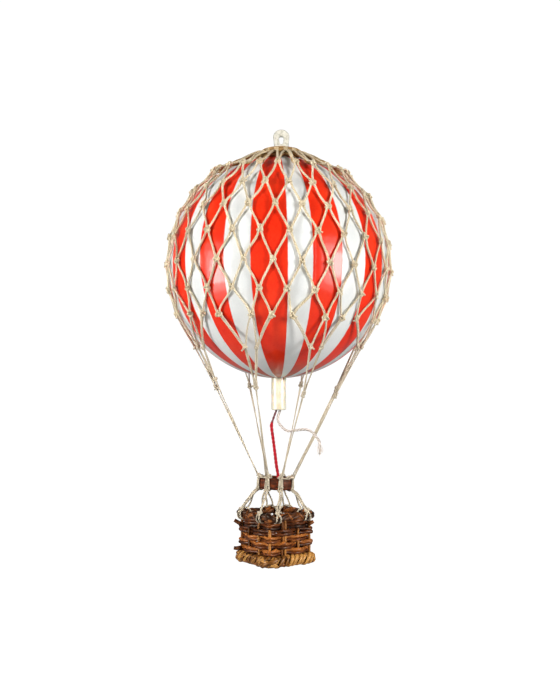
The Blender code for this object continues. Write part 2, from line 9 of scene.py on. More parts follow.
import bmesh
import bpy
import numpy as np
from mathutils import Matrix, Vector


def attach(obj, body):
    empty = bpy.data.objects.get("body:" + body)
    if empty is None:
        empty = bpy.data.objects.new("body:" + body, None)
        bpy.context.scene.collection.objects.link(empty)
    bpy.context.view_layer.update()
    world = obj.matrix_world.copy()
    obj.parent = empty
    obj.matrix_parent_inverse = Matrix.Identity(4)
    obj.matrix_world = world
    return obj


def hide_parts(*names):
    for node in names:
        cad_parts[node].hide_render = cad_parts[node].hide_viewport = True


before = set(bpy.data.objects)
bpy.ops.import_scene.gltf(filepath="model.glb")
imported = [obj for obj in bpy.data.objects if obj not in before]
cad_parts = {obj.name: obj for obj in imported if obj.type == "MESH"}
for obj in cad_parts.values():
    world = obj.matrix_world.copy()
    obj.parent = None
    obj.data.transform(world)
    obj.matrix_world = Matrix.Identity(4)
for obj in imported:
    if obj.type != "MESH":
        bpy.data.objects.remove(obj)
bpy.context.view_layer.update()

MM = 0.001
UP = np.array((0.0, 0.0, 1.0))

# The same places and sizes as in the part's source
FRONT_YAW = math.radians(-36)
RIGHT = np.array((math.cos(FRONT_YAW), math.sin(FRONT_YAW), 0.0))
FRONT = np.array((math.sin(FRONT_YAW), -math.cos(FRONT_YAW), 0.0))
BALL_RADIUS = 42.5 * MM
BALL_CENTRE = -1.0 * MM * RIGHT - 51.5 * MM * UP
BALL_AXIS = BALL_CENTRE * (1, 1, 0)
LOOP_TOP = 2.7 * MM
LOOP_HALF_WIDTH = 3.1 * MM
LOOP_THICKNESS = 2.3 * MM
LOOP_FOOT_HALF_WIDTH = 2.3 * MM
LOOP_HOLE_HALF_WIDTH = 0.95 * MM
LOOP_HOLE_DEPTH = 3.1 * MM
COLLAR_TOP = -5.6 * MM
CROWN_RADIUS = 7.1 * MM
CROWN_HEIGHT = -6.7 * MM
COLUMNS = 24
COLUMN_PITCH = 360 / COLUMNS
NET_CROWDING = 6.0               # degrees by which the columns crowd together at a bearing
NET_CROWDED_AT = 5.0
NET_TILT = 2.2
NET_DIP = 2.9
# rows of knots from the top: latitude, bearing of the first knot, stand-off in mm
NET_ROWS = (
    (54.0, -1.5, 2.7),
    (39.0, 6.0, 2.1),
    (26.0, -2.5, 1.8),
    (13.0, 5.0, 1.6),
    (-0.7, -3.5, 1.5),
    (-13.8, 4.0, 1.5),
    (-26.5, -4.5, 1.5),
)
LAST_ROW = len(NET_ROWS)
LINE_COUNT = 8
FIRST_LINE = -109.5
LINE_PITCH = 360 / LINE_COUNT
KNOT_PULL = 3.0
MERGE_SPREAD = 3.7
MERGE_HEIGHT = -82.0 * MM
# height of each line's knot in mm, and bearing of its hitch on the load ring
LINE_KNOTS = (-97.3, -96.3, -97.5, -100.8, -99.5, -97.7, -95.9, -96.4)
RING_BEARINGS = (-110, -67, -26, 17, 69, 114, 158, 207)
RING_CENTRE = -2.3 * MM * RIGHT - 134.9 * MM * UP
RING_TILT = math.radians(-3)
RING_INNER = 5.4 * MM
RING_OUTER = 6.9 * MM
RING_HEIGHT = 4.5 * MM
LINE_CLEAR = 0.68 * MM
HITCH_RADIUS = RING_OUTER + LINE_CLEAR
HITCH_TOP = RING_HEIGHT / 2 + LINE_CLEAR
BASKET_AXIS = RING_CENTRE * (1, 1, 0)
BASKET_HALF = 12.0 * MM
BASKET_CORNER = 3.2 * MM
RIM_TOP = -145.4 * MM
RIM_RADIUS = 1.55 * MM
RIM_HALF = BASKET_HALF - RIM_RADIUS
BASE_BOTTOM = -165.5 * MM
BASE_HEIGHT = 4.5 * MM
BASE_THICKNESS = 2.9 * MM
FLOOR_HEIGHT = BASE_BOTTOM + 1.85 * MM
WALL_HALF = 10.05 * MM
WALL_CORNER = 2.4 * MM
STAKES_A_SIDE = 3
STAKE_RADIUS = 0.6 * MM
COURSES = 5
# side of the rim that each line is tied to, and the place along it as a share of its half
RIM_TIES = (
    ("+Y", -0.72),
    ("-X", 0.76),
    ("-X", -0.46),
    ("-Y", -0.60),
    ("-Y", 0.74),
    ("+X", -0.46),
    ("+X", 0.64),
    ("+Y", 0.46),
)
TUBE_RADIUS = 2.9 * MM
TUBE_BOTTOM = -106.5 * MM
TUBE_BORE_RADIUS = 2.05 * MM
TUBE_BORE_DEPTH = 4.0 * MM
# Routes of the free cords: right of the hanging point, in front of it, and height, in mm
RED_ROUTE = (
    (-1.95, 0.0, -103.4),
    (-1.95, 0.0, -106.4),
    (-2.6, 0.1, -108.4),
    (-3.3, 0.3, -110.4),
    (-3.8, 0.5, -112.3),
    (-3.65, 0.8, -114.4),
    (-3.1, 1.3, -118.3),
    (-2.5, 2.0, -122.9),
    (-1.9, 2.8, -127.9),
    (-1.3, 3.3, -131.3),
    (-1.2, 3.5, -134.2),
)
WHITE_ROUTE = (
    (-0.45, 0.0, -103.4),
    (-0.5, 0.0, -106.4),
    (-1.3, 0.4, -109.2),
    (-1.0, 1.2, -111.4),
    (0.5, 2.2, -113.3),
    (2.1, 3.2, -114.45),
    (3.6, 4.2, -114.55),
    (5.85, 5.6, -114.2),
    (8.6, 7.2, -113.8),
    (10.9, 8.4, -114.3),
    (12.45, 9.2, -115.6),
    (13.4, 9.6, -116.8),
    (14.3, 9.9, -118.1),
    (14.6, 10.1, -119.9),
    (14.6, 10.2, -123.1),
)

random = np.random.RandomState(7)


# Camera

CAMERA_DISTANCE = 351.0 * MM
CAMERA_RIGHT = -0.5 * MM
CAMERA_HEIGHT = -101.0 * MM
PICTURE_MIDDLE = -83.1 * MM      # height that the middle of the picture shows: it is a crop off its centre
FOCAL_PIXELS = 900
PICTURE_LONG_SIDE = 700
SENSOR = 36.0


def make_camera():
    data = bpy.data.cameras.new("camera")
    data.sensor_width = SENSOR
    data.lens = SENSOR * FOCAL_PIXELS / PICTURE_LONG_SIDE
    data.shift_y = (PICTURE_MIDDLE - CAMERA_HEIGHT) / CAMERA_DISTANCE * FOCAL_PIXELS / PICTURE_LONG_SIDE
    data.clip_start = 0.01
    data.clip_end = 20.0
    camera = bpy.data.objects.new("camera", data)
    camera.location = CAMERA_RIGHT * RIGHT + CAMERA_DISTANCE * FRONT + CAMERA_HEIGHT * UP
    camera.rotation_euler = (math.pi / 2, 0, FRONT_YAW)
    bpy.context.scene.collection.objects.link(camera)
    bpy.context.scene.camera = camera


# Places

def bearing_direction(bearing):
    """Level unit vector at a bearing, from the front towards the right. Takes an array too."""
    angle = np.radians(np.asarray(bearing, float))[..., None]
    return np.cos(angle) * FRONT + np.sin(angle) * RIGHT


def from_front(right, front, height):
    return MM * (right * RIGHT + front * FRONT + height * UP)


def on_ball(bearing, latitude, stand_off):
    """Places over the ball's skin. Angles in degrees, stand-off in mm, each a number or an array."""
    angle = np.radians(np.asarray(latitude, float))[..., None]
    radius = BALL_RADIUS + np.asarray(stand_off, float)[..., None] * MM
    return BALL_CENTRE + radius * (np.cos(angle) * bearing_direction(bearing) + np.sin(angle) * UP)


def crowd(bearing):
    return bearing - NET_CROWDING * np.sin(np.radians(bearing - NET_CROWDED_AT))


def net_knot(row, column):
    """Bearing, latitude and stand-off in mm of a knot: rows from 1 at the top, columns from the front."""
    latitude, first, stand_off = NET_ROWS[row - 1]
    bearing = first + COLUMN_PITCH * column
    if row == LAST_ROW:
        bearing -= KNOT_PULL * ((column + 1) % 3 - 1)
    bearing = crowd(bearing)
    turn = math.radians(bearing)
    tilt = NET_TILT * math.sin(turn) * math.cos(math.radians(latitude))
    return bearing, latitude - tilt - NET_DIP * math.cos(turn), stand_off


def line_bearing(line):
    return crowd(FIRST_LINE + LINE_PITCH * line)


def middle_column(line):
    return round((FIRST_LINE + LINE_PITCH * line - NET_ROWS[-1][1]) / COLUMN_PITCH)


def tilted(vector):
    """A direction in the load ring's frame, turned by the ring's tilt about the front."""
    c, s = math.cos(RING_TILT), math.sin(RING_TILT)
    return vector * c + np.cross(FRONT, vector) * s + FRONT * (vector @ FRONT)[..., None] * (1 - c)


def ring_point(line, radius, height):
    """Place in the load ring's frame at a line's hitch."""
    level = radius * bearing_direction(RING_BEARINGS[line])
    return RING_CENTRE + tilted(np.atleast_2d(level + height * UP))[0]


def merge_point(line, side):
    knot = on_ball(*net_knot(LAST_ROW, middle_column(line)))
    ring = ring_point(line, HITCH_RADIUS, HITCH_TOP)
    down = knot + (ring - knot) * (knot[2] - MERGE_HEIGHT) / (knot[2] - ring[2])
    radius = np.linalg.norm((down - BALL_AXIS)[:2])
    level = radius * bearing_direction(line_bearing(line) + side * MERGE_SPREAD)
    dip = math.tan(math.radians(NET_DIP)) * (level @ FRONT)
    return BALL_AXIS + level + (MERGE_HEIGHT - dip) * UP


# Mesh building

def unit(vectors):
    return vectors / np.maximum(np.linalg.norm(vectors, axis=-1, keepdims=True), 1e-12)


def each(values, vectors):
    """A vector, or one for each point, times a value for each point."""
    return np.asarray(values)[..., None] * vectors


def distances(path):
    """Distance along a path to each of its points."""
    return np.concatenate([[0], np.cumsum(np.linalg.norm(np.diff(path, axis=0), axis=1))])


def read_at(at, known, rows):
    """Rows read between those given, at other values of what rises along them."""
    return np.stack([np.interp(at, known, rows[:, k]) for k in range(3)], 1)


def squared(values, power):
    """Cosines or sines of a round section, pushed out to square it off. A power of 1 leaves it round."""
    return np.sign(values) * abs(values) ** power


def smooth(points, step, dense=10):
    """Evenly spaced points on a smooth curve through the given ones (Catmull-Rom)."""
    p = np.asarray(points, float)
    ends = np.vstack([2 * p[0] - p[1], p, 2 * p[-1] - p[-2]])
    t = np.linspace(0, 1, dense, endpoint=False)[None, :, None]
    a, b, c, d = (ends[i:len(ends) - 3 + i, None] for i in range(4))
    curve = 0.5 * (2 * b + t * (c - a) + t * t * (2 * a - 5 * b + 4 * c - d)
                   + t ** 3 * (3 * b - a - 3 * c + d))
    return even(np.vstack([curve.reshape(-1, 3), p[-1:]]), step)


def even(curve, step):
    """The same line with points at equal steps."""
    walked = distances(curve)
    count = max(2, int(round(walked[-1] / step)))
    return read_at(np.linspace(0, walked[-1], count + 1), walked, curve)


def length_of(path):
    return float(np.linalg.norm(np.diff(path, axis=0), axis=1).sum())


def side_vectors(path, up):
    """Two vectors across a path at each point: with up given it is the second one's rough direction."""
    tangent = unit(np.gradient(path, axis=0))
    if up is None:
        start = RIGHT if abs(tangent[0] @ RIGHT) < 0.8 else FRONT
        tops = [unit(start - tangent[0] * (start @ tangent[0]))]
        for t in tangent[1:]:
            last = tops[-1]
            tops.append(unit(last - t * (last @ t)))
        top = np.array(tops)
    else:
        up = np.broadcast_to(up, path.shape)
        top = unit(up - tangent * np.sum(up * tangent, -1, keepdims=True))
    return np.cross(tangent, top), top


def lobed(plies, a_ply, groove):
    """Cross-section of laid yarn: radii at even angles, with a groove between plies."""
    radii = []
    for i in range(a_ply):
        away = abs(i - a_ply / 2) / (a_ply / 2)
        radii.append(groove if i == 0 else 1.0 - 0.12 * away ** 2)
    return np.array(radii * plies)


THREE_PLY = lobed(3, 3, 0.74)
TWO_PLY = lobed(2, 4, 0.62)
ROUND = np.ones(8)
REED = np.ones(9)
CORD_RADIUS = 0.43 * MM          # of the net's cord
CORD_STEP = 0.40 * MM
CORD_PITCH = 3.9 * MM
STRAND_RADIUS = 0.31 * MM        # of the lines' twine
BASKET_STRAND = 0.41 * MM
STRAND_STEP = 0.42 * MM
STRAND_PITCH = 3.0 * MM


class Shape:
    """Gathers tubes and other grids of points into one mesh, with the attributes the materials read.

    grain is the distance along a strand in mm and the direction round it, strand a number for each strand,
    groove is 1 between the plies of a cord, where the materials paint shade.
    """

    def __init__(self):
        self.places, self.faces, self.grain, self.strand, self.groove = [], [], [], [], []
        self.count = 0

    def grid(self, rings, grain, strand, groove=0.0):
        """Closed tube from rings of points, (rings, round, 3)."""
        many, around = rings.shape[:2]
        index = np.arange(many * around).reshape(many, around) + self.count
        a, b = index[:-1], index[1:]
        self.faces += np.stack([a, np.roll(a, -1, 1), np.roll(b, -1, 1), b], -1).reshape(-1, 4).tolist()
        self.faces += [index[0][::-1].tolist(), index[-1].tolist()]
        self.places.append(rings.reshape(-1, 3))
        self.grain.append(grain.reshape(-1, 3))
        self.strand.append(np.full(many * around, strand))
        self.groove.append(np.broadcast_to(groove, (many, around)).ravel())
        self.count += many * around

    def tube(self, path, radius, section, pitch, up=None, phase=0.0, flat=1.0):
        """Tube along a path. pitch is the length of one turn of the section, None for no turn, and flat the
        share of its thickness that it keeps along up."""
        across, top = side_vectors(path, up)
        walked = distances(path)
        lie = np.arange(len(section)) * math.tau / len(section)
        turn = walked / pitch * math.tau if pitch else np.zeros(len(path))
        angle = lie[None] + turn[:, None] + phase
        radii = np.broadcast_to(radius, (len(path),))[:, None] * section[None]
        rings = (path[:, None] + each(radii * np.cos(angle), across[:, None])
                 + each(flat * radii * np.sin(angle), top[:, None]))
        grain = np.stack(np.broadcast_arrays((walked / MM)[:, None], np.cos(lie), np.sin(lie)), -1)
        self.grid(rings, grain, random.rand(), np.clip((0.86 - section) / 0.12, 0, 1))

    def cord(self, points, radius, pitch=CORD_PITCH, **options):
        """The net's cord on a smooth curve."""
        self.tube(smooth(points, CORD_STEP), radius, THREE_PLY, pitch, **options)

    def twine(self, points, radius, section=THREE_PLY, pitch=STRAND_PITCH):
        """The lines' finer twine on a smooth curve."""
        self.tube(smooth(points, STRAND_STEP), radius, section, pitch)

    def reed(self, path, radius, section=REED, **options):
        """A reed or strip of cane, which isn't twisted."""
        self.tube(path, radius, section, None, **options)

    def object(self, name, material, slot, *nodes):
        """The finished piece, on the part's one body, in place of the named CAD nodes."""
        mesh = bpy.data.meshes.new(name)
        mesh.from_pydata(np.vstack(self.places).tolist(), [], self.faces)
        set_values(mesh, "grain", np.vstack(self.grain))
        set_values(mesh, "strand", np.concatenate(self.strand))
        set_values(mesh, "groove", np.concatenate(self.groove))
        return finished(bpy.data.objects.new(name, mesh), material, slot, *nodes)


def set_values(mesh, name, values):
    """Attribute of a mesh's points, numbers or rows of three."""
    kind, key = ("FLOAT_VECTOR", "vector") if values.ndim == 2 else ("FLOAT", "value")
    mesh.attributes.new(name, kind, "POINT").data.foreach_set(key, values.ravel())


def finished(obj, material, slot, *nodes):
    obj.data.materials.append(material)
    obj.data.shade_smooth()
    bpy.context.scene.collection.objects.link(obj)
    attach(obj, "root")
    if nodes:
        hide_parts(*nodes)
    return obj


def wander(count, size, smoothness):
    """Smooth random walk-like values, about -size to size."""
    rough = random.uniform(-1, 1, max(4, int(count / smoothness) + 3))
    at = np.linspace(0, len(rough) - 1.001, count)
    i = at.astype(int)
    t = at - i
    t = t * t * (3 - 2 * t)
    return size * (rough[i] * (1 - t) + rough[i + 1] * t)


# Materials

class Nodes:
    """Short way to write the node tree of a material or a world. Each call returns the output socket."""

    def __init__(self, owner, main, **inputs):
        owner.use_nodes = True
        self.owner = owner
        self.tree = owner.node_tree
        self.main = self.tree.nodes[main]
        self.shade(**inputs)

    def node(self, kind, output=0, settings=(), **inputs):
        node = self.tree.nodes.new(f"ShaderNode{kind}")
        for key, value in dict(settings).items():
            setattr(node, key, value)
        for key, value in inputs.items():
            self.put(node.inputs[int(key[1:]) if key[0] == "_" else key.replace("_", " ")], value)
        return node.outputs[output]

    def put(self, socket, value):
        if isinstance(value, bpy.types.NodeSocket):
            self.tree.links.new(value, socket)
        else:
            socket.default_value = value

    def shade(self, **inputs):
        """Fills inputs of the main node, and returns the material or world."""
        for key, value in inputs.items():
            self.put(self.main.inputs[key.replace("_", " ")], value)
        return self.owner

    def place(self):
        """Place on the object in mm."""
        where = self.node("TexCoord", "Object")
        return self.node("VectorMath", settings={"operation": "SCALE"}, _0=where, Scale=1000.0)

    def attribute(self, name, output="Fac"):
        return self.node("Attribute", output, {"attribute_name": name})

    def scaled(self, vector, x, y, z):
        return self.node("VectorMath", settings={"operation": "MULTIPLY"}, _0=vector, _1=(x, y, z))

    def noise(self, vector, scale, detail=3.0, roughness=0.5):
        return self.node("TexNoise", "Fac", Vector=vector, Scale=scale, Detail=detail, Roughness=roughness)

    def math(self, operation, a, b=0.0):
        return self.node("Math", settings={"operation": operation}, _0=a, _1=b)

    def product(self, a, b):
        return self.math("MULTIPLY", a, b)

    def sum(self, *terms):
        """Sum of values, or of pairs of a value and its weight."""
        total, *rest = [self.product(*term) if isinstance(term, tuple) else term for term in terms]
        for term in rest:
            total = self.math("ADD", total, term)
        return total

    def centred(self, value):
        return self.math("SUBTRACT", value, 0.5)

    def spread(self, value, low, high, to_low=0.0, to_high=1.0, settings=()):
        """Value from one range to another, held at the ends."""
        return self.node("MapRange", 0, settings, Value=value, From_Min=low, From_Max=high, To_Min=to_low,
                         To_Max=to_high)

    def ramp(self, value, *stops):
        socket = self.node("ValToRGB", Fac=value)
        elements = socket.node.color_ramp.elements
        while len(elements) < len(stops):
            elements.new(0.5)
        for element, (at, colour) in zip(elements, stops):
            element.position = at
            element.color = (*colour, 1)
        return socket

    def mix(self, share, a, b):
        socket = self.node("Mix", 2, {"data_type": "RGBA"}, _0=share)
        for at, value in ((6, a), (7, b)):
            self.put(socket.node.inputs[at], (*value, 1) if isinstance(value, tuple) else value)
        return socket

    def bump(self, *layers):
        """Normal from layers of height, strength and depth in mm, each laid over the one before."""
        under = {}
        for height, strength, depth in layers:
            normal = self.node("Bump", Height=height, Strength=strength, Distance=depth * MM, **under)
            under = {"Normal": normal}
        return normal


def principled(name, **shader):
    return Nodes(bpy.data.materials.new(name), "Principled BSDF", **shader)


def times(colour, share):
    return tuple(c * share for c in colour)


def paint_material():
    """Gores of glossy paint. The gore attribute is 1 in the middle of a red gore, -1 of a white one."""
    n = principled("gore_paint", Coat_Weight=0.22, Coat_Roughness=0.09, Coat_IOR=2.0, Specular_IOR_Level=0.08)
    place = n.place()
    edge = n.sum(n.attribute("gore"), (n.centred(n.noise(place, 0.5)), 0.05))
    red_share = n.spread(edge, -0.012, 0.012)
    cloud = n.noise(place, 0.09, 4.0, 0.6)
    speckle = n.noise(place, 1.6, 4.0, 0.7)
    red = n.ramp(n.sum((cloud, 0.7), (speckle, 0.3)),
                 (0.30, (0.76, 0.016, 0.003)), (0.52, (0.88, 0.031, 0.006)), (0.75, (0.94, 0.050, 0.010)))
    white = n.ramp(n.sum((cloud, 0.6), (speckle, 0.4)),
                   (0.30, (0.74, 0.76, 0.74)), (0.55, (0.82, 0.83, 0.81)), (0.75, (0.87, 0.87, 0.84)))
    near_edge = n.spread(n.math("ABSOLUTE", n.sum(edge, 0.012)), 0.0, 0.035, 1.0, 0.0)
    seam = n.product(near_edge, n.spread(n.noise(place, 0.8), 0.35, 0.65, 0.25, 0.75))
    colour = n.mix(seam, n.mix(red_share, white, red), (0.62, 0.22, 0.18))
    # painted reflection of the floor, browner towards the ball's foot, on the red gores
    foot_height = n.sum(n.node("SeparateXYZ", 2, Vector=place), (speckle, 2.0))
    foot_reflection = n.product(n.spread(foot_height, -92.4, -86.5, 0.65, 0.0), red_share)
    # each red gore is pasted over its neighbours, so its edges stand up and its rim lies flat
    fold = n.spread(edge, 0.13, 0.19)
    orange_peel = n.noise(place, 0.55, 2.0, 0.4)
    brushed = n.noise(n.scaled(place, 1.0, 1.0, 0.35), 1.5, 3.0, 0.6)
    grain = n.noise(place, 3.0, 3.0, 0.6)
    return n.shade(
        Base_Color=n.mix(foot_reflection, colour, (0.38, 0.17, 0.09)),
        Roughness=n.spread(speckle, 0.3, 0.7, 0.26, 0.40),
        Normal=n.bump((orange_peel, 0.30, 0.12), (grain, 0.15, 0.03), (red_share, 0.35, 0.05),
                      (fold, 0.30, 0.05)),
        Coat_Normal=n.bump((orange_peel, 0.2, 0.12), (fold, 0.5, 0.05), (brushed, 0.22, 0.06)))


def twine_material(name, light, dark, crown_brown=None, deep=0.35, **shader):
    """Laid twine: fibres along the plies, painted shade in the grooves between them, and darker and browner
    towards the crown.
    """
    n = principled(name, Roughness=0.82, Specular_IOR_Level=0.3, **shader)
    place = n.place()
    fibre = n.noise(n.scaled(n.attribute("grain", "Vector"), 0.9, 2.6, 2.6), 2.2, 3.0, 0.6)
    blotch = n.noise(place, 0.35, 3.0, 0.6)
    shade = n.sum((fibre, 0.45), (blotch, 0.55), (n.centred(n.attribute("strand")), 0.16))
    between = tuple((a + b) / 2 for a, b in zip(light, dark))
    colour = n.ramp(shade, (0.30, dark), (0.50, between), (0.66, light))
    # darker and browner towards the crown
    if crown_brown:
        height = n.sum(n.node("SeparateXYZ", 2, Vector=place), (n.centred(blotch), 9.0))
        browner = n.ramp(shade, (0.30, times(crown_brown, 0.5)), (0.66, crown_brown))
        colour = n.mix(n.spread(height, -15.0, -6.0), colour, browner)
    # painted shade: darker in the grooves between the plies, unevenly
    groove = n.product(n.attribute("groove"), n.spread(blotch, 0.3, 0.7, 0.75, 0.45))
    return n.shade(Base_Color=n.mix(groove, colour, times(dark, deep)), Normal=n.bump((fibre, 0.55, 0.06)))


def yarn_material(name, light, dark, first=None, first_until=0.0):
    """Soft yarn. The first stretch, up to a distance in mm, can have a colour of its own."""
    n = principled(name, Roughness=0.85, Specular_IOR_Level=0.25, Sheen_Weight=0.3, Sheen_Roughness=0.4)
    grain = n.attribute("grain", "Vector")
    fibre = n.noise(n.scaled(grain, 1.2, 3.0, 3.0), 2.5, 3.0, 0.6)
    shade = n.sum((fibre, 0.6), (n.noise(n.place(), 0.8, 2.0), 0.4))
    colour = n.ramp(shade, (0.32, dark), (0.65, light))
    if first:
        along = n.sum(n.node("SeparateXYZ", 0, Vector=grain), (fibre, 0.5))
        own = n.ramp(shade, (0.32, times(first, 0.6)), (0.65, first))
        colour = n.mix(n.spread(along, first_until, first_until + 0.5, 1.0, 0.0), colour, own)
    # painted shade: darker in the grooves between the plies
    groove = n.product(n.attribute("groove"), 0.8)
    return n.shade(Base_Color=n.mix(groove, colour, times(dark, 0.4)), Normal=n.bump((fibre, 0.6, 0.08)))


def reed_material(name, dark, middle, light, coat=0.20, roughness=0.42, contrast=1.0):
    """Stained cane: fine lines along the reed, dark in patches, worn light where the stain is thin."""
    n = principled(name, Coat_Weight=coat, Coat_Roughness=0.22, Specular_IOR_Level=0.25,
                   Specular_Tint=(1.0, 0.72, 0.48, 1.0))
    grain = n.attribute("grain", "Vector")
    line = n.noise(n.scaled(grain, 0.16, 2.4, 2.4), 2.4, 4.0, 0.65)
    patch = n.noise(n.scaled(grain, 0.16, 0.5, 0.5), 1.0, 3.0, 0.6)
    dirt = n.noise(n.place(), 0.55, 3.0, 0.6)
    shade = n.sum((line, 0.28), (patch, 0.47), (dirt, 0.25),
                  (n.centred(n.attribute("strand")), 0.22 * contrast))
    colour = n.ramp(shade, (0.34, dark), (0.50, middle), (0.64, light))
    # painted shade: where the groove attribute is set, as on the ring by its hitches, the colour goes to the
    # darkest tone
    return n.shade(Base_Color=n.mix(n.attribute("groove"), colour, dark), Normal=n.bump((line, 0.45, 0.08)),
                   Roughness=n.spread(line, 0.3, 0.7, roughness - 0.08, roughness + 0.15))


def ivory_material():
    n = principled("ivory_plastic", Coat_Weight=0.3, Coat_Roughness=0.12, Subsurface_Weight=0.35,
                   Subsurface_Scale=1.5 * MM, Subsurface_Radius=(1.0, 0.7, 0.4), Specular_IOR_Level=0.5)
    place = n.place()
    scratch = n.noise(n.scaled(place, 2.5, 2.5, 0.25), 1.0, 4.0, 0.7)
    colour = n.ramp(n.noise(place, 0.35, 3.0, 0.6),
                    (0.3, (0.78, 0.68, 0.46)), (0.55, (0.85, 0.78, 0.60)), (0.75, (0.88, 0.83, 0.68)))
    spot = n.spread(n.sum(n.attribute("glue"), (n.centred(scratch), 0.4)), 0.35, 0.6)
    return n.shade(Base_Color=n.mix(spot, colour, (0.30, 0.12, 0.03)), Normal=n.bump((scratch, 0.12, 0.04)),
                   Roughness=n.spread(scratch, 0.3, 0.7, 0.24, 0.40))


def clear_material():
    n = principled("clear_plastic", Transmission_Weight=0.22, IOR=1.40, Coat_Weight=0.2, Coat_Roughness=0.1)
    place = n.place()
    cloud = n.noise(place, 0.7, 3.0, 0.6)
    colour = n.ramp(cloud, (0.3, (0.76, 0.72, 0.59)), (0.6, (0.88, 0.85, 0.74)))
    # painted shade: darker on the loop's edges and in its hole
    return n.shade(Base_Color=n.mix(n.product(n.attribute("groove"), 0.85), colour, (0.30, 0.29, 0.23)),
                   Roughness=n.spread(cloud, 0.3, 0.7, 0.22, 0.38),
                   Normal=n.bump((n.noise(place, 0.9, 2.0), 0.15, 0.1)))


def floor_material():
    n = principled("floor_paper", Roughness=0.9, Emission_Strength=0.95, Emission_Color=(1, 1, 1, 1))
    return n.shade(Base_Color=n.ramp(n.noise(n.place(), 0.004, 3.0),
                                     (0.3, (0.90, 0.90, 0.90)), (0.7, (0.94, 0.94, 0.94))))


# Free cords

YARN_STEP = 0.22 * MM
RED_MOUTH_RADIUS = 0.44 * MM
RED_RADIUS = 0.66 * MM
RED_THIN_UNTIL = 8.3             # mm from its start
RED_PITCH = 3.2 * MM
WHITE_RADIUS = 0.54 * MM
WHITE_PITCH = 4.4 * MM
FRAY_LENGTH = 4.2                # mm
FRAY_FIBRES = 46
FIBRE_RADIUS = 0.055 * MM


def yarn_path(route):
    """A free cord's path, and the distance along it in mm to each of its points."""
    path = smooth([from_front(*p) for p in route], YARN_STEP)
    return path, np.linspace(0, length_of(path), len(path)) / MM


def make_cords():
    """The red cord from the mouth tube into the ring, and the free white one with its frayed end."""
    crimson = yarn_material("red_yarn", (0.72, 0.016, 0.035), (0.34, 0.003, 0.010), (0.27, 0.12, 0.13),
                            RED_THIN_UNTIL)
    path, walked = yarn_path(RED_ROUTE)
    thick = np.clip((walked - RED_THIN_UNTIL + 0.4) / 0.8, 0, 1)
    radius = RED_MOUTH_RADIUS + (RED_RADIUS - RED_MOUTH_RADIUS) * thick
    radius = radius * (1 + wander(len(path), 0.05, 12))
    shape = Shape()
    shape.tube(path, radius, TWO_PLY, RED_PITCH)
    red = shape.object("red_cord_yarn", crimson, "red_yarn", "red_cord")
    length_of(path)

    cream = yarn_material("white_yarn", (0.95, 0.88, 0.80), (0.70, 0.58, 0.50))
    path, walked = yarn_path(WHITE_ROUTE)
    left = walked[-1] - walked
    radius = WHITE_RADIUS * (0.45 + 0.55 * np.clip((left - 0.6) / 2.6, 0, 1))
    radius = radius * (1 + wander(len(path), 0.06, 14))
    shape = Shape()
    shape.tube(path, radius, THREE_PLY, WHITE_PITCH)
    white = shape.object("white_cord_yarn", cream, "white_yarn", "white_cord")
    shape = Shape()
    bend = path[int(np.argmin(abs(left - FRAY_LENGTH)))]
    for _ in range(FRAY_FIBRES):
        spread = random.normal(0, 0.55, 3) * MM
        reach = random.uniform(0.45, 1.0)
        tip = bend + (path[-1] - bend) * reach + spread + random.normal(0, 0.25, 3) * MM
        middle = bend + (path[-1] - bend) * reach * 0.5 + spread * 0.75
        root = bend + random.normal(0, 0.18, 3) * MM
        shape.tube(smooth([root, middle, tip], 0.4 * MM), FIBRE_RADIUS, np.ones(5), None)
    fray = shape.object("white_cord_fray", cream, "white_yarn", "white_cord")
    length_of(path)


# Ball, loop and mouth tube

# bearing of each gore seam at the front, as the photograph shows them: the first gore is red
FRONT_SEAMS = (-68.6, -52.8, -40.9, -26.8, -13.2, 4.3, 16.4, 32.1, 47.4, 64.2)
GORES = 24
BACK_GORES = (14.0, 16.0)         # relative widths of the gores round the back, in turn
POLE_LEAN_BACK = math.radians(-0.3)
POLE_LEAN_LEFT = math.radians(0.65)
BALL_COLUMNS_A_GORE = 8
BALL_RINGS = 96
BALL_WAVES = 14
BALL_WAVE_HEIGHT = 0.035         # mm
CREASE_DEPTH = 0.05 * MM
LOOP_EDGE = 0.7 * MM             # radius of the loop's rounded edges
LOOP_FOOT = -8.6 * MM
TUBE_EDGE = 0.5 * MM
GLUE_BEARING = 35
GLUE_SIZE = 0.8 * MM


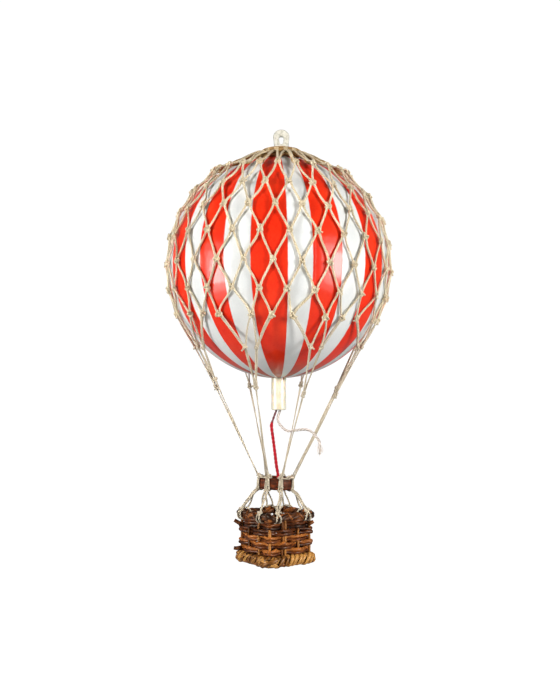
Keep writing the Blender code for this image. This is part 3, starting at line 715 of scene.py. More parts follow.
def make_ball(material):
    """Ball with a column of points on each gore seam, a little uneven like a hand-made one."""
    seams = list(FRONT_SEAMS)
    gap = 360 - (seams[-1] - seams[0])
    widths = [BACK_GORES[i % 2] for i in range(GORES - len(seams) + 1)]
    seams += [FRONT_SEAMS[-1] + gap * share / sum(widths) for share in np.cumsum(widths[:-1])]
    seams.append(seams[0] + 360)
    bearings, gores = [], []
    for i in range(GORES):
        for t in np.arange(BALL_COLUMNS_A_GORE) / BALL_COLUMNS_A_GORE:
            bearings.append(seams[i] + (seams[i + 1] - seams[i]) * t)
            gores.append((-1) ** i * (1 - abs(2 * t - 1)))
    angle = np.radians(bearings)
    gores = np.array(gores)
    latitudes = np.radians(np.linspace(90, -90, BALL_RINGS + 1))
    pole = unit(UP - math.tan(POLE_LEAN_BACK) * FRONT - math.tan(POLE_LEAN_LEFT) * RIGHT)
    front = unit(FRONT - pole * (FRONT @ pole))
    level = each(np.cos(angle), front) + each(np.sin(angle), np.cross(pole, front))
    direction = np.cos(latitudes)[:, None, None] * level + np.sin(latitudes)[:, None, None] * pole
    uneven = np.zeros(direction.shape[:2])
    for _ in range(BALL_WAVES):
        axis = unit(random.normal(size=3))
        waves = random.uniform(2, 7)
        uneven += np.sin(direction @ axis * waves + random.uniform(0, 6)) * BALL_WAVE_HEIGHT * MM
    crease = CREASE_DEPTH * (1 - np.clip(abs(gores) / 0.25, 0, 1))[None] * np.cos(latitudes)[:, None]
    rings = BALL_CENTRE + each(BALL_RADIUS - CREASE_DEPTH + uneven - crease, direction)
    shape = Shape()
    shape.grid(rings[1:-1], direction[1:-1], 0.5)
    ball = shape.object("envelope_skin", material, "gore_paint", "envelope")
    set_values(ball.data, "gore", np.tile(gores, BALL_RINGS - 1))


def make_loop(material):
    """The moulded eye, from the same outline as the part with finer arcs, a mould line and soft edges."""
    arch = LOOP_TOP - LOOP_HALF_WIDTH
    top, foot = LOOP_HALF_WIDTH - LOOP_EDGE, LOOP_FOOT_HALF_WIDTH - LOOP_EDGE
    arc = [math.radians(a) for a in range(0, 181, 9)]
    outline = [(top * math.cos(a), arch + top * math.sin(a)) for a in arc]
    left = [(-top, arch - 1.1 * MM), (-top + 0.05 * MM, arch - 2.2 * MM), (-foot, COLLAR_TOP),
            (-foot, LOOP_FOOT)]
    outline += left + [(-x, z) for x, z in reversed(left)]
    middle = -LOOP_HOLE_HALF_WIDTH
    reach = LOOP_HOLE_HALF_WIDTH + LOOP_EDGE
    low = -LOOP_HOLE_DEPTH + 0.2 * MM - LOOP_EDGE
    hole = [(reach * math.cos(a), middle + reach * math.sin(a)) for a in arc]
    hole += [(-reach * 0.93, middle - 1.2 * MM), (-0.35 * MM - LOOP_EDGE, low)]
    hole += [(-x, z) for x, z in reversed(hole[-2:])]
    curve = bpy.data.curves.new("clear_loop", "CURVE")
    curve.dimensions = "2D"
    curve.fill_mode = "BOTH"
    curve.bevel_depth = LOOP_EDGE
    curve.bevel_resolution = 4
    curve.extrude = LOOP_THICKNESS / 2 - LOOP_EDGE
    for points in (outline, hole):
        spline = curve.splines.new("POLY")
        spline.points.add(len(points) - 1)
        for point, (x, z) in zip(spline.points, points):
            point.co = (x, z, 0, 1)
        spline.use_cyclic_u = True
    flat = bpy.data.objects.new("clear_loop_curve", curve)
    bpy.context.scene.collection.objects.link(flat)
    bpy.context.view_layer.update()
    mesh = bpy.data.meshes.new_from_object(flat.evaluated_get(bpy.context.evaluated_depsgraph_get()))
    bpy.data.objects.remove(flat, do_unlink=True)
    places = np.empty(len(mesh.vertices) * 3)
    mesh.vertices.foreach_get("co", places)
    places = places.reshape(-1, 3)
    bulge = 0.12 * MM * np.sin(places[:, 1] / MM * 0.9 + 0.6) * np.sign(places[:, 0])
    stood = places[:, :1] * RIGHT + places[:, 1:2] * UP + places[:, 2:] * FRONT + each(bulge, RIGHT)
    mesh.vertices.foreach_set("co", stood.ravel())
    # painted shade on the edges and in the hole, in place of the dark outline that refraction gives clear
    # plastic: 1 there, 0 on the flat faces
    set_values(mesh, "groove", np.clip((0.93 - abs(places[:, 2]) / (LOOP_THICKNESS / 2)) / 0.45, 0, 1))
    bm = bmesh.new()
    bm.from_mesh(mesh)
    bmesh.ops.remove_doubles(bm, verts=bm.verts, dist=0.001 * MM)
    bmesh.ops.recalc_face_normals(bm, faces=bm.faces)
    bm.to_mesh(mesh)
    bm.free()
    loop = finished(bpy.data.objects.new("clear_loop", mesh), material, "clear_plastic", "hanging_loop")
    loop.data.set_sharp_from_angle(angle=math.radians(50))


def make_mouth_tube(material):
    """Ivory tube with a rounded mouth and a spot of old glue where it meets the ball."""
    top = BALL_CENTRE[2] - BALL_RADIUS + 0.9 * MM
    bottom = TUBE_BOTTOM
    profile = [(1.0 * MM, top), (TUBE_RADIUS - 0.15 * MM, top), (TUBE_RADIUS, top - 0.15 * MM)]
    profile += [(TUBE_RADIUS, z) for z in np.linspace(top - 0.5 * MM, bottom + 0.6 * MM, 18)]
    profile += [(TUBE_RADIUS - TUBE_EDGE + TUBE_EDGE * math.sin(a), bottom + TUBE_EDGE * (1 - math.cos(a)))
                for a in np.radians(range(90, -1, -15))]
    profile += [(TUBE_BORE_RADIUS + 0.1 * MM, bottom), (TUBE_BORE_RADIUS, bottom + 0.1 * MM)]
    profile += [(TUBE_BORE_RADIUS, z) for z in np.linspace(bottom + 0.4 * MM, bottom + TUBE_BORE_DEPTH, 5)]
    profile = np.array(profile + [(0.3 * MM, bottom + TUBE_BORE_DEPTH)])
    angle = np.linspace(0, math.tau, 64, endpoint=False)
    around = each(np.cos(angle), FRONT) - each(np.sin(angle), RIGHT)
    oval = 1 + 0.012 * np.cos(2 * angle + 0.7)
    rings = (BALL_AXIS + profile[:, 0][:, None, None] * each(oval, around)
             + profile[:, 1][:, None, None] * UP)
    shape = Shape()
    shape.grid(rings, np.zeros(rings.shape), 0.5)
    tube = shape.object("mouth_tube_skin", material, "ivory_plastic", "mouth_tube")
    tube.data.set_sharp_from_angle(angle=math.radians(60))
    spot = BALL_AXIS + (BALL_CENTRE[2] - BALL_RADIUS - 0.2 * MM) * UP
    spot = spot + TUBE_RADIUS * bearing_direction(GLUE_BEARING)
    glue = np.exp(-(np.linalg.norm(rings.reshape(-1, 3) - spot, axis=1) / GLUE_SIZE) ** 2)
    set_values(tube.data, "glue", glue)


# Net

NET_KNOT = (2.7, 3.1, 1.9)        # width, height and thickness in mm
CORD_ASIDE = 0.42 * MM           # from a knot's middle to the cord's end in it
CORD_LOWEST = 0.62               # mm from the ball's skin to the middle of a cord between its knots
LEAVE = 0.42                     # share of the straight slope at which a cord leaves its knot


def net_cord(shape, upper, lower, side):
    """Cord over the ball's skin from an upper knot to a lower one on that side of it, -1 or 1."""
    steps = np.linspace(0, 1, 24)
    (bearing_a, latitude_a, off_a), (bearing_b, latitude_b, off_b) = upper, lower
    bearing_b -= 360 * round((bearing_b - bearing_a) / 360)
    off_a, off_b = off_a - 0.45, off_b - 0.45
    shift_a, shift_b = (way * math.degrees(CORD_ASIDE / (BALL_RADIUS * math.cos(math.radians(latitude))))
                        for way, latitude in ((side, latitude_a), (-side, latitude_b)))
    leave = LEAVE + random.uniform(-0.12, 0.12)
    curve = leave * steps + (1 - leave) * steps * steps * (3 - 2 * steps)
    bow = random.normal(0, 0.25) * np.sin(steps * math.pi) + random.normal(0, 0.12) * np.sin(steps * math.tau)
    bearing = bearing_a + shift_a + (bearing_b + shift_b - bearing_a - shift_a) * curve + bow
    latitude = latitude_a + (latitude_b - latitude_a) * steps
    dip = (off_a + off_b) / 2 - max(CORD_LOWEST, CORD_LOWEST * (off_a + off_b) / 2)
    off = off_a + (off_b - off_a) * steps - dip * np.sin(steps * math.pi) ** 2
    path = even(on_ball(bearing, latitude, off), CORD_STEP)
    shape.tube(path, CORD_RADIUS * random.uniform(0.92, 1.06), THREE_PLY,
               CORD_PITCH * random.uniform(0.9, 1.1), up=unit(path - BALL_CENTRE),
               phase=random.uniform(0, math.tau))


def knot_path():
    """Flattened trefoil, 1 wide, 1 high and 1 thick, as (right, up, out)."""
    t = np.linspace(0, math.tau, 34)
    x = np.sin(t) + 2 * np.sin(2 * t)
    y = np.cos(t) - 2 * np.cos(2 * t)
    z = -np.sin(3 * t)
    return np.stack([x / 6, y / 5.6, z / 2], 1)


KNOT_PATH = knot_path()


def add_knot(shape, centre, out, down, size=NET_KNOT, cord=0.40 * MM, tails=True):
    """Lump of cord tied at a place, of a width, height and thickness in mm. out is away from what it lies
    on, down where its cords go."""
    out = unit(out)
    down = unit(down - out * (down @ out))
    across = np.cross(down, out)
    tilt = random.normal(0, 0.25)
    flip = random.choice([-1, 1])
    stretch = random.uniform(0.9, 1.12, 3)
    c, s = math.cos(tilt), math.sin(tilt)
    right = flip * (c * across + s * down)
    along = c * down - s * across
    x, y, z = (KNOT_PATH * (np.array(size) - 2 * cord / MM) * stretch * MM).T
    path = centre + each(x, right) + each(y, along) + each(z, out)
    path = smooth(path + random.normal(0, 0.05, path.shape) * MM, 0.42 * MM, 4)
    shape.tube(path, cord * (1 + wander(len(path), 0.06, 5)), THREE_PLY, 3.0 * MM, phase=random.uniform(0, 6))
    if tails and random.rand() < 0.6:
        way = unit(random.choice([-1, 1]) * right * random.uniform(0.4, 1) + along * random.uniform(-0.4, 0.9)
                   + out * random.uniform(0.0, 0.35))
        reach = random.uniform(1.2, 2.1) * MM
        tail = smooth([centre, centre + way * reach * 0.6 + out * 0.1 * MM, centre + way * reach], 0.35 * MM)
        shape.tube(tail, cord * np.linspace(1.0, 0.85, len(tail)), THREE_PLY, 3.4 * MM)


def crown_knot(column):
    """Place on the crown hoop that a first-row cord hangs from: they hang in pairs."""
    pair = 4.0 if column % 2 == 0 else -4.0
    bearing = crowd(NET_ROWS[1][1] + COLUMN_PITCH * column) + pair
    return CROWN_RADIUS * bearing_direction(bearing) + CROWN_HEIGHT * UP


# rounds of old cord that the net hangs from: mm outside the crown's radius and above its height
CROWN_HOOPS = ((0.15, 0.75), (0.25, 0.05), (0.1, -0.6), (-0.75, 0.6), (-0.8, -0.2), (-1.6, 0.5))
# turns, radius, height of the last and of the first turn in mm, bearing of the start
COLLAR_LAYERS = ((4.6, 3.45, -8.3, -4.85, 0), (3.6, 4.35, -8.2, -5.4, 120), (2.7, 5.3, -8.3, -6.2, 250))


def make_net(material, crown_brown):
    """The net in four pieces, and the old cord at its crown in a fifth."""
    crown, upper, lower, knots, hoops = (Shape() for _ in range(5))
    for k in range(COLUMNS):
        knot = on_ball(*net_knot(1, k))
        normal = unit(knot - BALL_CENTRE)
        for side, at in ((-1, k - 1), (1, k)):
            top = crown_knot(at)
            outward = unit(top * (1, 1, 0))
            away = np.cross(UP, outward) * side
            edge = top + 0.95 * MM * outward - 0.75 * MM * UP - 0.1 * MM * away
            points = [top - outward * random.uniform(0.8, 1.8) * MM + random.uniform(0.1, 0.6) * MM * UP,
                      top + 0.55 * MM * outward + 0.55 * MM * UP - 0.2 * MM * away, edge]
            for part, stand_off in ((0.25, 1.9), (0.5, 1.25), (0.75, 1.0)):
                spot = unit(edge + (knot - edge) * part - BALL_CENTRE)
                radius = BALL_RADIUS + (stand_off + random.uniform(-0.2, 0.5)) * MM
                points.append(BALL_CENTRE + radius * spot)
            points.append(knot + CORD_ASIDE * side * unit(np.cross(UP, normal)) - 0.35 * MM * normal)
            crown.cord(points, CORD_RADIUS * random.uniform(0.94, 1.08), phase=random.uniform(0, 6))
    for row in range(1, LAST_ROW):
        # a knot of an odd row hangs its cords on the knots to both sides of the next row
        for k in range(COLUMNS):
            for side, at in ((-1, k - row % 2), (1, k + 1 - row % 2)):
                shape = upper if row <= 3 else lower
                net_cord(shape, net_knot(row, k), net_knot(row + 1, at % COLUMNS), side)
    for row in range(1, LAST_ROW + 1):
        for k in range(COLUMNS):
            bearing, latitude, off = net_knot(row, k)
            centre = on_ball(bearing, latitude, off - 0.3)
            add_knot(knots, centre, centre - BALL_CENTRE, -UP)
    for k in range(COLUMNS):
        knot = on_ball(*net_knot(1, k))
        for at in (k - 1, k):
            top = crown_knot(at)
            points = [top - 0.5 * MM * UP]
            for part in (0.3, 0.6, 0.85):
                spot = unit(top + (knot - top) * part - BALL_CENTRE)
                away = np.cross(spot, UP) * random.uniform(-0.9, 0.9) * MM
                points.append(BALL_CENTRE + (BALL_RADIUS + random.uniform(0.5, 1.5) * MM) * spot + away)
            hoops.cord(points + [knot], CORD_RADIUS)
    for radius, rise in CROWN_HOOPS:
        t = np.linspace(0, 372, 90)
        rounds = CROWN_RADIUS + (radius + wander(len(t), 0.2, 7)) * MM
        height = CROWN_HEIGHT + (rise + wander(len(t), 0.2, 8)) * MM
        hoop = each(rounds, bearing_direction(t + 150 * radius)) + each(height, UP)
        hoops.tube(even(hoop, CORD_STEP), CORD_RADIUS, THREE_PLY, CORD_PITCH)
    hoops.object("net_hoops", crown_brown, "twine", "net")
    for name, shape in (("crown", crown), ("upper", upper), ("lower", lower), ("knots", knots)):
        shape.object(f"net_{name}", material, "twine", "net")


def make_collar(material):
    """Turns of brown twine wound round the loop's foot, in layers."""
    shape = Shape()
    for turns, radius, low, high, turn in COLLAR_LAYERS:
        t = np.linspace(0, 1, int(70 * turns))
        wobble = wander(len(t), 0.12, 9)
        height = high + (low - high) * t + wander(len(t), 0.15, 11)
        level = each(radius * MM + wobble * MM, bearing_direction(turn + 360 * turns * t))
        path = level + each(height, MM * UP)
        shape.tube(even(path, 0.36 * MM), 0.45 * MM, THREE_PLY, 3.4 * MM)
    shape.object("collar_twine", material, "brown_twine", "crown_ring")


# Suspension lines, ring and basket lines

# of each line: strand radius in mm below its knot, share of the way from there to the ring where its two
# strands part, distance in mm between them there, thickness of its legs, turns of its wrapping, and how much
# its knot has crept up, in mm
LINE_LOOKS = (
    (0.24, 0.80, 0.5, 0.90, 2, 0.0),
    (0.20, 0.93, 0.30, 0.75, 1, 1.9),
    (0.23, 0.60, 1.4, 1.05, 5, 0.3),
    (0.19, 0.85, 0.5, 0.90, 2, 0.7),
    (0.31, 0.78, 1.0, 0.90, 2, -1.0),
    (0.24, 0.60, 1.3, 1.00, 2, 0.0),
    (0.22, 0.80, 0.6, 0.90, 2, 0.0),
    (0.24, 0.80, 0.6, 0.90, 2, 0.0),
)
# a line whose spare strands run on along the ring's top edge, and the line that they run to
TOP_STRANDS = {1: 2, 4: 3}
HITCH_POWER = 0.62               # how far the hitches square off round the ring's section
# strands over the rim: side of the line, angle at the rim's top, and each leg's angles round the rim and
# places along it in mm
RIM_STRANDS = (
    (-1, 62, (((40, -1.4), (10, -1.8), (-25, -2.0), (-60, -1.9), (-100, -1.7)),
              ((40, -0.6), (10, -0.2), (-25, 0.1), (-60, 0.2), (-100, 0.2)))),
    (1, 112, (((130, 1.3), (160, 1.7), (195, 1.9), (230, 1.8), (262, 1.6)),)),
)
RING_SECTION = 36                # points round the ring's section


def ring_frame(line):
    out = tilted(np.atleast_2d(bearing_direction(RING_BEARINGS[line])))[0]
    up = tilted(np.atleast_2d(UP))[0]
    return out, up, np.cross(up, out)


def add_fork(shape, line, side, merge, knot, outward, leg):
    """One side of a line's fork: cords from two of the net's last knots, and its leg to the line knot."""
    down = unit(knot - merge)
    column = middle_column(line)
    for source, strands, way in ((column, 1, side), (column + side, 2, -side)):
        place = on_ball(*net_knot(LAST_ROW, source % COLUMNS))
        normal = unit(place - BALL_CENTRE)
        across = unit(np.cross(UP, normal))
        for i in range(strands):
            offset = (i - (strands - 1) / 2) * 0.8 * MM
            start = place - 0.4 * MM * normal + 0.35 * MM * way * across + offset * across
            bend = start + (merge - start) * 0.45 + normal * 0.25 * MM + 0.25 * MM * way * across
            shape.cord([start, bend, merge + down * 0.6 * MM + offset * 0.35 * across], CORD_RADIUS * 0.9)
    add_knot(shape, merge, outward, down, (1.9, 2.6, 1.6), 0.38 * MM)
    for turn in (0, math.pi):
        steps = np.linspace(0, 1, 12)
        bulge = (0.24 + 0.10 * np.sin(steps * math.pi) * random.uniform(0.2, 1.0)) * MM
        angle = turn + steps * random.uniform(0.8, 2.6)
        path = (merge + each(steps, knot - merge) + each(np.cos(angle) * bulge, np.cross(down, outward))
                + each(np.sin(angle) * bulge * 0.7, outward))
        path[-1] = knot
        shape.twine(path, STRAND_RADIUS * leg)


def add_line_knot(shape, knot, foot, down, outward, turns):
    """A few turns wound round a line's strands, with a lump at their foot."""
    t = np.linspace(0, 1, 12 * turns)
    side_a = unit(np.cross(down, outward))
    side_b = np.cross(side_a, down)
    angle = t * turns * math.tau
    path = (knot - each(0.75 * turns * (1 - t) - 0.6, down) * MM
            + 0.56 * MM * (each(np.cos(angle), side_a) + each(np.sin(angle), side_b)))
    shape.twine(path, STRAND_RADIUS * 1.1)
    add_knot(shape, foot, outward, down, (2.1, 2.5, 1.8), 0.34 * MM)


def add_top_strands(shape, first, last):
    """Spare strands that run on along the ring's top edge from one bearing to another."""
    for inward, low in ((0.0, 0.0), (0.55, -0.05)):
        sag = (low - 0.25 * np.sin(np.linspace(0, math.pi, 9))) * MM
        level = bearing_direction(np.linspace(first, last, 9)) * (RING_OUTER + 0.1 * MM - inward * MM)
        height = RING_HEIGHT / 2 + 0.3 * MM + sag
        shape.twine(RING_CENTRE + tilted(level + each(height, UP)), STRAND_RADIUS)


def make_line(line, material):
    """A suspension line: its fork from the net, its knot, its two strands and its hitch on the ring."""
    shape = Shape()
    out, up, along = ring_frame(line)
    ring_top = ring_point(line, HITCH_RADIUS - 0.2 * MM, HITCH_TOP - 0.35 * MM)
    merges = [merge_point(line, side) for side in (-1, 1)]
    middle = (merges[0] + merges[1]) / 2
    thick, split, apart, leg, turns, crept = LINE_LOOKS[line]
    share = (middle[2] - (LINE_KNOTS[line] + crept) * MM) / (middle[2] - ring_top[2])
    knot = middle + (ring_top - middle) * share
    outward = unit((knot - BALL_AXIS) * (1, 1, 0))
    for side, merge in zip((-1, 1), merges):
        add_fork(shape, line, side, merge, knot, outward, leg)
    down = unit(ring_top - knot)
    foot = knot + down * 0.7 * MM
    add_line_knot(shape, knot, foot, down, outward, turns)
    # two strands from the knot, laid together until they part for the ring
    steps = np.linspace(0, 1, 28)
    slack = wander(len(steps), 0.10, 7) * np.sin(steps * math.pi) * MM
    plies = THREE_PLY if thick > 0.2 else 1 + (THREE_PLY - 1) * 0.35
    for side in (-1, 1):
        gap = np.interp(steps, (0, 0.12, split, 1), (0.25, 0.7 * thick, 0.7 * thick, apart / 2)) * MM
        turn = 5.0 * np.clip(split - steps, 0, 1) * (1 if line % 2 else -1)
        path = (foot + each(steps, ring_top - foot) + each(side * np.cos(turn) * gap + slack, along)
                + each(side * np.sin(turn) * gap, out))
        shape.twine(path, thick * MM, plies, STRAND_PITCH / 2)
    add_hitch(shape, line, out, up, along)
    if line in TOP_STRANDS:
        add_top_strands(shape, RING_BEARINGS[line], RING_BEARINGS[TOP_STRANDS[line]])
    shape.object(f"suspension_twine_{line + 1}", material, "twine", f"suspension_line_{line + 1}")


def add_hitch(shape, line, out, up, along):
    """Turns of twine round the ring's section under a line, crossed on the outer face."""
    middle = ring_point(line, (RING_INNER + RING_OUTER) / 2, 0)
    half_out = (RING_OUTER - RING_INNER) / 2 + 0.36 * MM
    half_up = RING_HEIGHT / 2 + 0.30 * MM
    angle = np.linspace(0, 1, 73) * math.tau + math.pi / 2
    x, z = squared(np.cos(angle), HITCH_POWER), squared(np.sin(angle), HITCH_POWER)
    for phase, lean in ((-0.62, 0.34), (0.02, 0.0), (0.62, -0.34)):
        slide = phase + lean * z * np.clip(x, 0, 1) + wander(len(angle), 0.14, 9)
        path = middle + each(half_out * x, out) + each(half_up * z, up) + each(slide * MM, along)
        shape.tube(even(path, STRAND_STEP), STRAND_RADIUS * 1.15, THREE_PLY, STRAND_PITCH)
    add_knot(shape, middle + half_out * 0.8 * out + half_up * up, unit(out + up), along, (1.8, 2.5, 1.4),
             0.30 * MM, tails=False)
    add_knot(shape, middle + half_out * out - half_up * 0.95 * up, unit(out - up), along, (1.5, 2.1, 1.3),
             0.29 * MM, tails=False)


def side_frame(side):
    """Outward direction of a side of the basket, and the direction along it."""
    axes = {"X": np.array((1.0, 0, 0)), "Y": np.array((0, 1.0, 0))}
    out = axes.pop(side[1])
    return (out if side[0] == "+" else -out), *axes.values()


def make_basket_line(line, material):
    """Two strands from under the ring's hitch: one forks over the rim's outer face, one goes inside it."""
    shape = Shape()
    side, share = RIM_TIES[line]
    out, along = side_frame(side)
    rim = BASKET_AXIS + RIM_HALF * (out + share * along) + (RIM_TOP - RIM_RADIUS) * UP
    reach = RIM_RADIUS + 0.34 * MM
    _, _, ring_along = ring_frame(line)
    start = ring_point(line, HITCH_RADIUS - 0.35 * MM, -HITCH_TOP + 0.3 * MM)
    if ring_along @ along < 0:
        ring_along = -ring_along

    def on_rim(degrees, slide):
        a = math.radians(degrees)
        return rim + reach * (math.cos(a) * out + math.sin(a) * UP) + slide * MM * along

    for way, top_angle, legs in RIM_STRANDS:
        top = on_rim(top_angle, 1.0 * way)
        first = start + way * 0.5 * MM * ring_along
        sway = random.uniform(-0.35, 0.35) * MM * along + random.uniform(-0.2, 0.2) * MM * out
        flare = unit((first - BASKET_AXIS) * (1, 1, 0))
        hang = [first + (top - first) * part + sway * math.sin(math.tau * part) + bow * MM * flare
                for part, bow in ((0.08, 0.45), (0.2, 0.75), (0.4, 0.55), (0.6, 0.20), (0.8, -0.05))]
        upper = [first] + hang
        for leg in legs:
            shape.twine(upper + [top] + [on_rim(*place) for place in leg], BASKET_STRAND)
            upper = [hang[-1]]
    shape.twine([on_rim(80 + 12 * math.sin(3 * x), x) for x in np.linspace(-1.3, 1.3, 7)], BASKET_STRAND)
    add_knot(shape, on_rim(60, -1.0), UP + 0.6 * out, along, (1.6, 2.1, 1.2), 0.29 * MM, tails=False)
    shape.object(f"basket_twine_{line + 1}", material, "twine", f"basket_line_{line + 1}")


def make_ring(material):
    """Band of dark rattan, drawn in under the hitches and swollen between them."""
    section = np.arange(RING_SECTION) * math.tau / RING_SECTION
    bearings = np.arange(0, 362.1, 2.0)
    turn = np.radians(bearings)
    near = np.min([abs((bearings - b + 180) % 360 - 180) for b in RING_BEARINGS], axis=0)
    swell = np.clip(near / 15, 0, 1) ** 0.6
    half_up = RING_HEIGHT / 2 * (0.88 + 0.13 * swell)
    half_out = (RING_OUTER - RING_INNER) / 2 * (0.90 + 0.32 * swell)
    ribs = 1 + 0.05 * np.cos(3 * math.pi * np.sin(section)) * abs(np.cos(section))
    x = squared(np.cos(section), 0.55) * ribs
    z = squared(np.sin(section), 0.72)
    uneven = 1 + 0.02 * np.sin(3 * turn) + 0.015 * np.sin(8 * turn)
    radius = (RING_INNER + RING_OUTER) / 2 * uneven[:, None] + half_out[:, None] * x
    level = each(radius, bearing_direction(bearings)[:, None])
    rings = RING_CENTRE + tilted(level + each(half_up[:, None] * z, UP))
    grain = np.broadcast_arrays((turn * RING_OUTER / MM)[:, None], np.cos(section) * 2, np.sin(section) * 4)
    shape = Shape()
    # painted shade: the band darkens towards each hitch, where it is drawn in under the twine
    shape.grid(rings, np.stack(grain, -1), 0.5, 0.75 * (1 - swell)[:, None])
    shape.object("ring_rattan", material, "dark_rattan", "load_ring")


# Basket

WRAP_HEIGHT = 3.9 * MM           # of the base border's binding
WRAP_STEP = 0.05 * MM            # between the points of the path that it is wound on
WRAP_PITCH = 2.05 * MM
WRAP_POINTS = 22                 # of each turn
FLOOR_STRIPS = 11
WALL_BOTTOM = BASE_BOTTOM + WRAP_HEIGHT + 0.2 * MM
REED_RADIUS = 0.67 * MM
REED_PITCH = 1.20 * MM           # height from a reed to the next of its course
LOOK_PITCH = 2.46 * MM           # height from a course to the next: the reeds fill the wall up to the rim
FRONT_STAKES = range(6, 12)      # the stakes of the two sides that face the front
DOUBLE_STAKES = (4, 10)
FOLD_PITCH = 4.3                 # mm along the rim from one folded reed end to the next
# reed ends that stick out at the corners: right of the hanging point, in front of it, height, in mm, from
# the root to the tip
REED_ENDS = (
    ((-15.8, -1.8, -151.2), (-17.2, -2.0, -150.4), (-18.4, -2.1, -149.7)),
    ((-15.8, -1.6, -160.4), (-17.4, -1.9, -160.7), (-18.6, -2.0, -160.6)),
    ((10.9, 2.6, -150.3), (11.7, 2.4, -150.0), (12.4, 2.2, -149.6)),
)
# a reed's way from one stake to the next: share of the way, and how far it has swung out or in
WEAVE = ((0.0, 1.0), (0.24, 0.92), (0.46, 0.35), (0.64, -0.35), (0.82, -0.92))


def quarter_turn(quarter):
    """Rotation by a number of right angles, as a matrix for rows of places: place @ matrix."""
    c, s = round(math.cos(quarter * math.pi / 2)), round(math.sin(quarter * math.pi / 2))
    return np.array(((c, s, 0), (-s, c, 0), (0, 0, 1.0)))


def stake_places():
    """Places and outward normals of the stakes, round the wall from the middle of the +X side."""
    cut = WALL_CORNER * (1 - math.sqrt(0.5))
    places = []
    for side in range(4):
        turn = quarter_turn(side)
        for i in range(STAKES_A_SIDE):
            spot = np.array((WALL_HALF, (-1 + 2 * i / STAKES_A_SIDE) * WALL_HALF, 0))
            normal = np.array((1.0, 0, 0))
            if i == 0:
                spot = np.array((WALL_HALF - cut, -WALL_HALF + cut, 0))
                normal = unit(np.array((1.0, -1.0, 0)))
            places.append((spot @ turn, normal @ turn))
    return places


def square_path(half, corner, step=0.4 * MM):
    """Points of a level rounded square round the basket's axis, closed, and their outward normals."""
    spots, normals = [], []
    for quarter in range(4):
        middle = (half - corner) * np.array((1, 1, 0)) @ quarter_turn(quarter)
        for angle in np.radians(90 * quarter + np.linspace(0, 90, 10)):
            normals.append(np.array((math.cos(angle), math.sin(angle), 0)))
            spots.append(middle + corner * normals[-1])
    spots, normals = np.array(spots + spots[:1]), np.array(normals + normals[:1])
    walked = distances(spots)
    at = np.linspace(0, walked[-1], int(walked[-1] / step) + 1)
    return BASKET_AXIS + read_at(at, walked, spots), unit(read_at(at, walked, normals)), at


def front_corner(normals):
    """Index of the place on a square path at the basket's front corner."""
    return int(np.argmax(normals[:-1] @ unit(np.sign(FRONT))))


def make_rim(material):
    """Rolled rim: reeds laid round each other, with reed ends folded over them."""
    shape = Shape()
    centre, normal, at = square_path(RIM_HALF, BASKET_CORNER - RIM_RADIUS)
    centre = centre + (RIM_TOP - RIM_RADIUS) * UP
    for i in range(4):
        angle = at / at[-1] * 6 * math.tau + i * math.tau / 4
        reach = 0.76 * MM * (1 + wander(len(at), 0.16, 10))
        path = centre + each(np.cos(angle) * reach, normal) + each(np.sin(angle) * reach, UP)
        path = np.vstack([path, path[:8]])
        shape.reed(path, 0.72 * MM * (1 + wander(len(path), 0.14, 7)), up=UP)
    folds = [(first, random.uniform(0.5, 1.5), random.uniform(0.95, 1.10), random.uniform(0.50, 0.72))
             for first in np.arange(1.0, at[-1] / MM - 2, FOLD_PITCH)]
    folds.append((at[front_corner(normal)] / MM - 2.2, 1.2, 1.25, 0.85))
    for first, lean, reach, thick in folds:
        points = []
        for k, degrees in enumerate((170, 130, 85, 40, -5, -45, -80)):
            i = int(np.searchsorted(at, (first + lean * k * 0.55) * MM)) % (len(at) - 1)
            a = math.radians(degrees + random.uniform(-6, 6))
            points.append(centre[i] + reach * MM * (math.cos(a) * normal[i] + math.sin(a) * UP))
        path = smooth(points, 0.42 * MM, 6)
        shape.reed(path, thick * MM * (1 + wander(len(path), 0.12, 6)))
    for end in REED_ENDS:
        path = smooth([from_front(*p) for p in end], 0.4 * MM)
        shape.reed(path, 0.80 * MM * np.linspace(1.1, 0.9, len(path)))
    shape.object("rim_reeds", material, "wicker", "basket_rim")


def make_weavers(material):
    """Courses of paired reeds that run in front of one stake and behind the next."""
    stakes = stake_places()
    for course in range(COURSES):
        shape = Shape()
        for reed in range(3 if course == COURSES - 1 else 2):
            height = WALL_BOTTOM + REED_RADIUS + LOOK_PITCH * course + REED_PITCH * reed
            points = []
            for k, (spot, normal) in enumerate(stakes):
                next_spot, next_normal = stakes[(k + 1) % len(stakes)]
                side = -1 if (k + course) % 2 == 0 else 1
                reach = random.uniform(0.72, 0.95) * MM
                for part, swing in WEAVE:
                    facing = unit(normal * (1 - part) + next_normal * part)
                    lift = random.normal(0, 0.13) * MM
                    points.append(BASKET_AXIS + spot * (1 - part) + next_spot * part
                                  + side * swing * reach * facing + (height + lift) * UP)
            if reed < 2:
                start = int(random.randint(len(points)))
                points = points[start:] + points[:start]
                points += [points[0], points[1] + 0.5 * MM * UP]
            else:
                points = points[len(WEAVE) * FRONT_STAKES[0]:len(WEAVE) * (FRONT_STAKES[-1] + 1)]
            path = smooth(points, 0.42 * MM, 8)
            radius = REED_RADIUS * random.uniform(0.9, 1.04) * (1 + wander(len(path), 0.13, 10))
            shape.reed(path, radius, up=UP)
        shape.object(f"weaver_reeds_{course + 1}", material, "wicker", f"basket_weaver_{course + 1}")


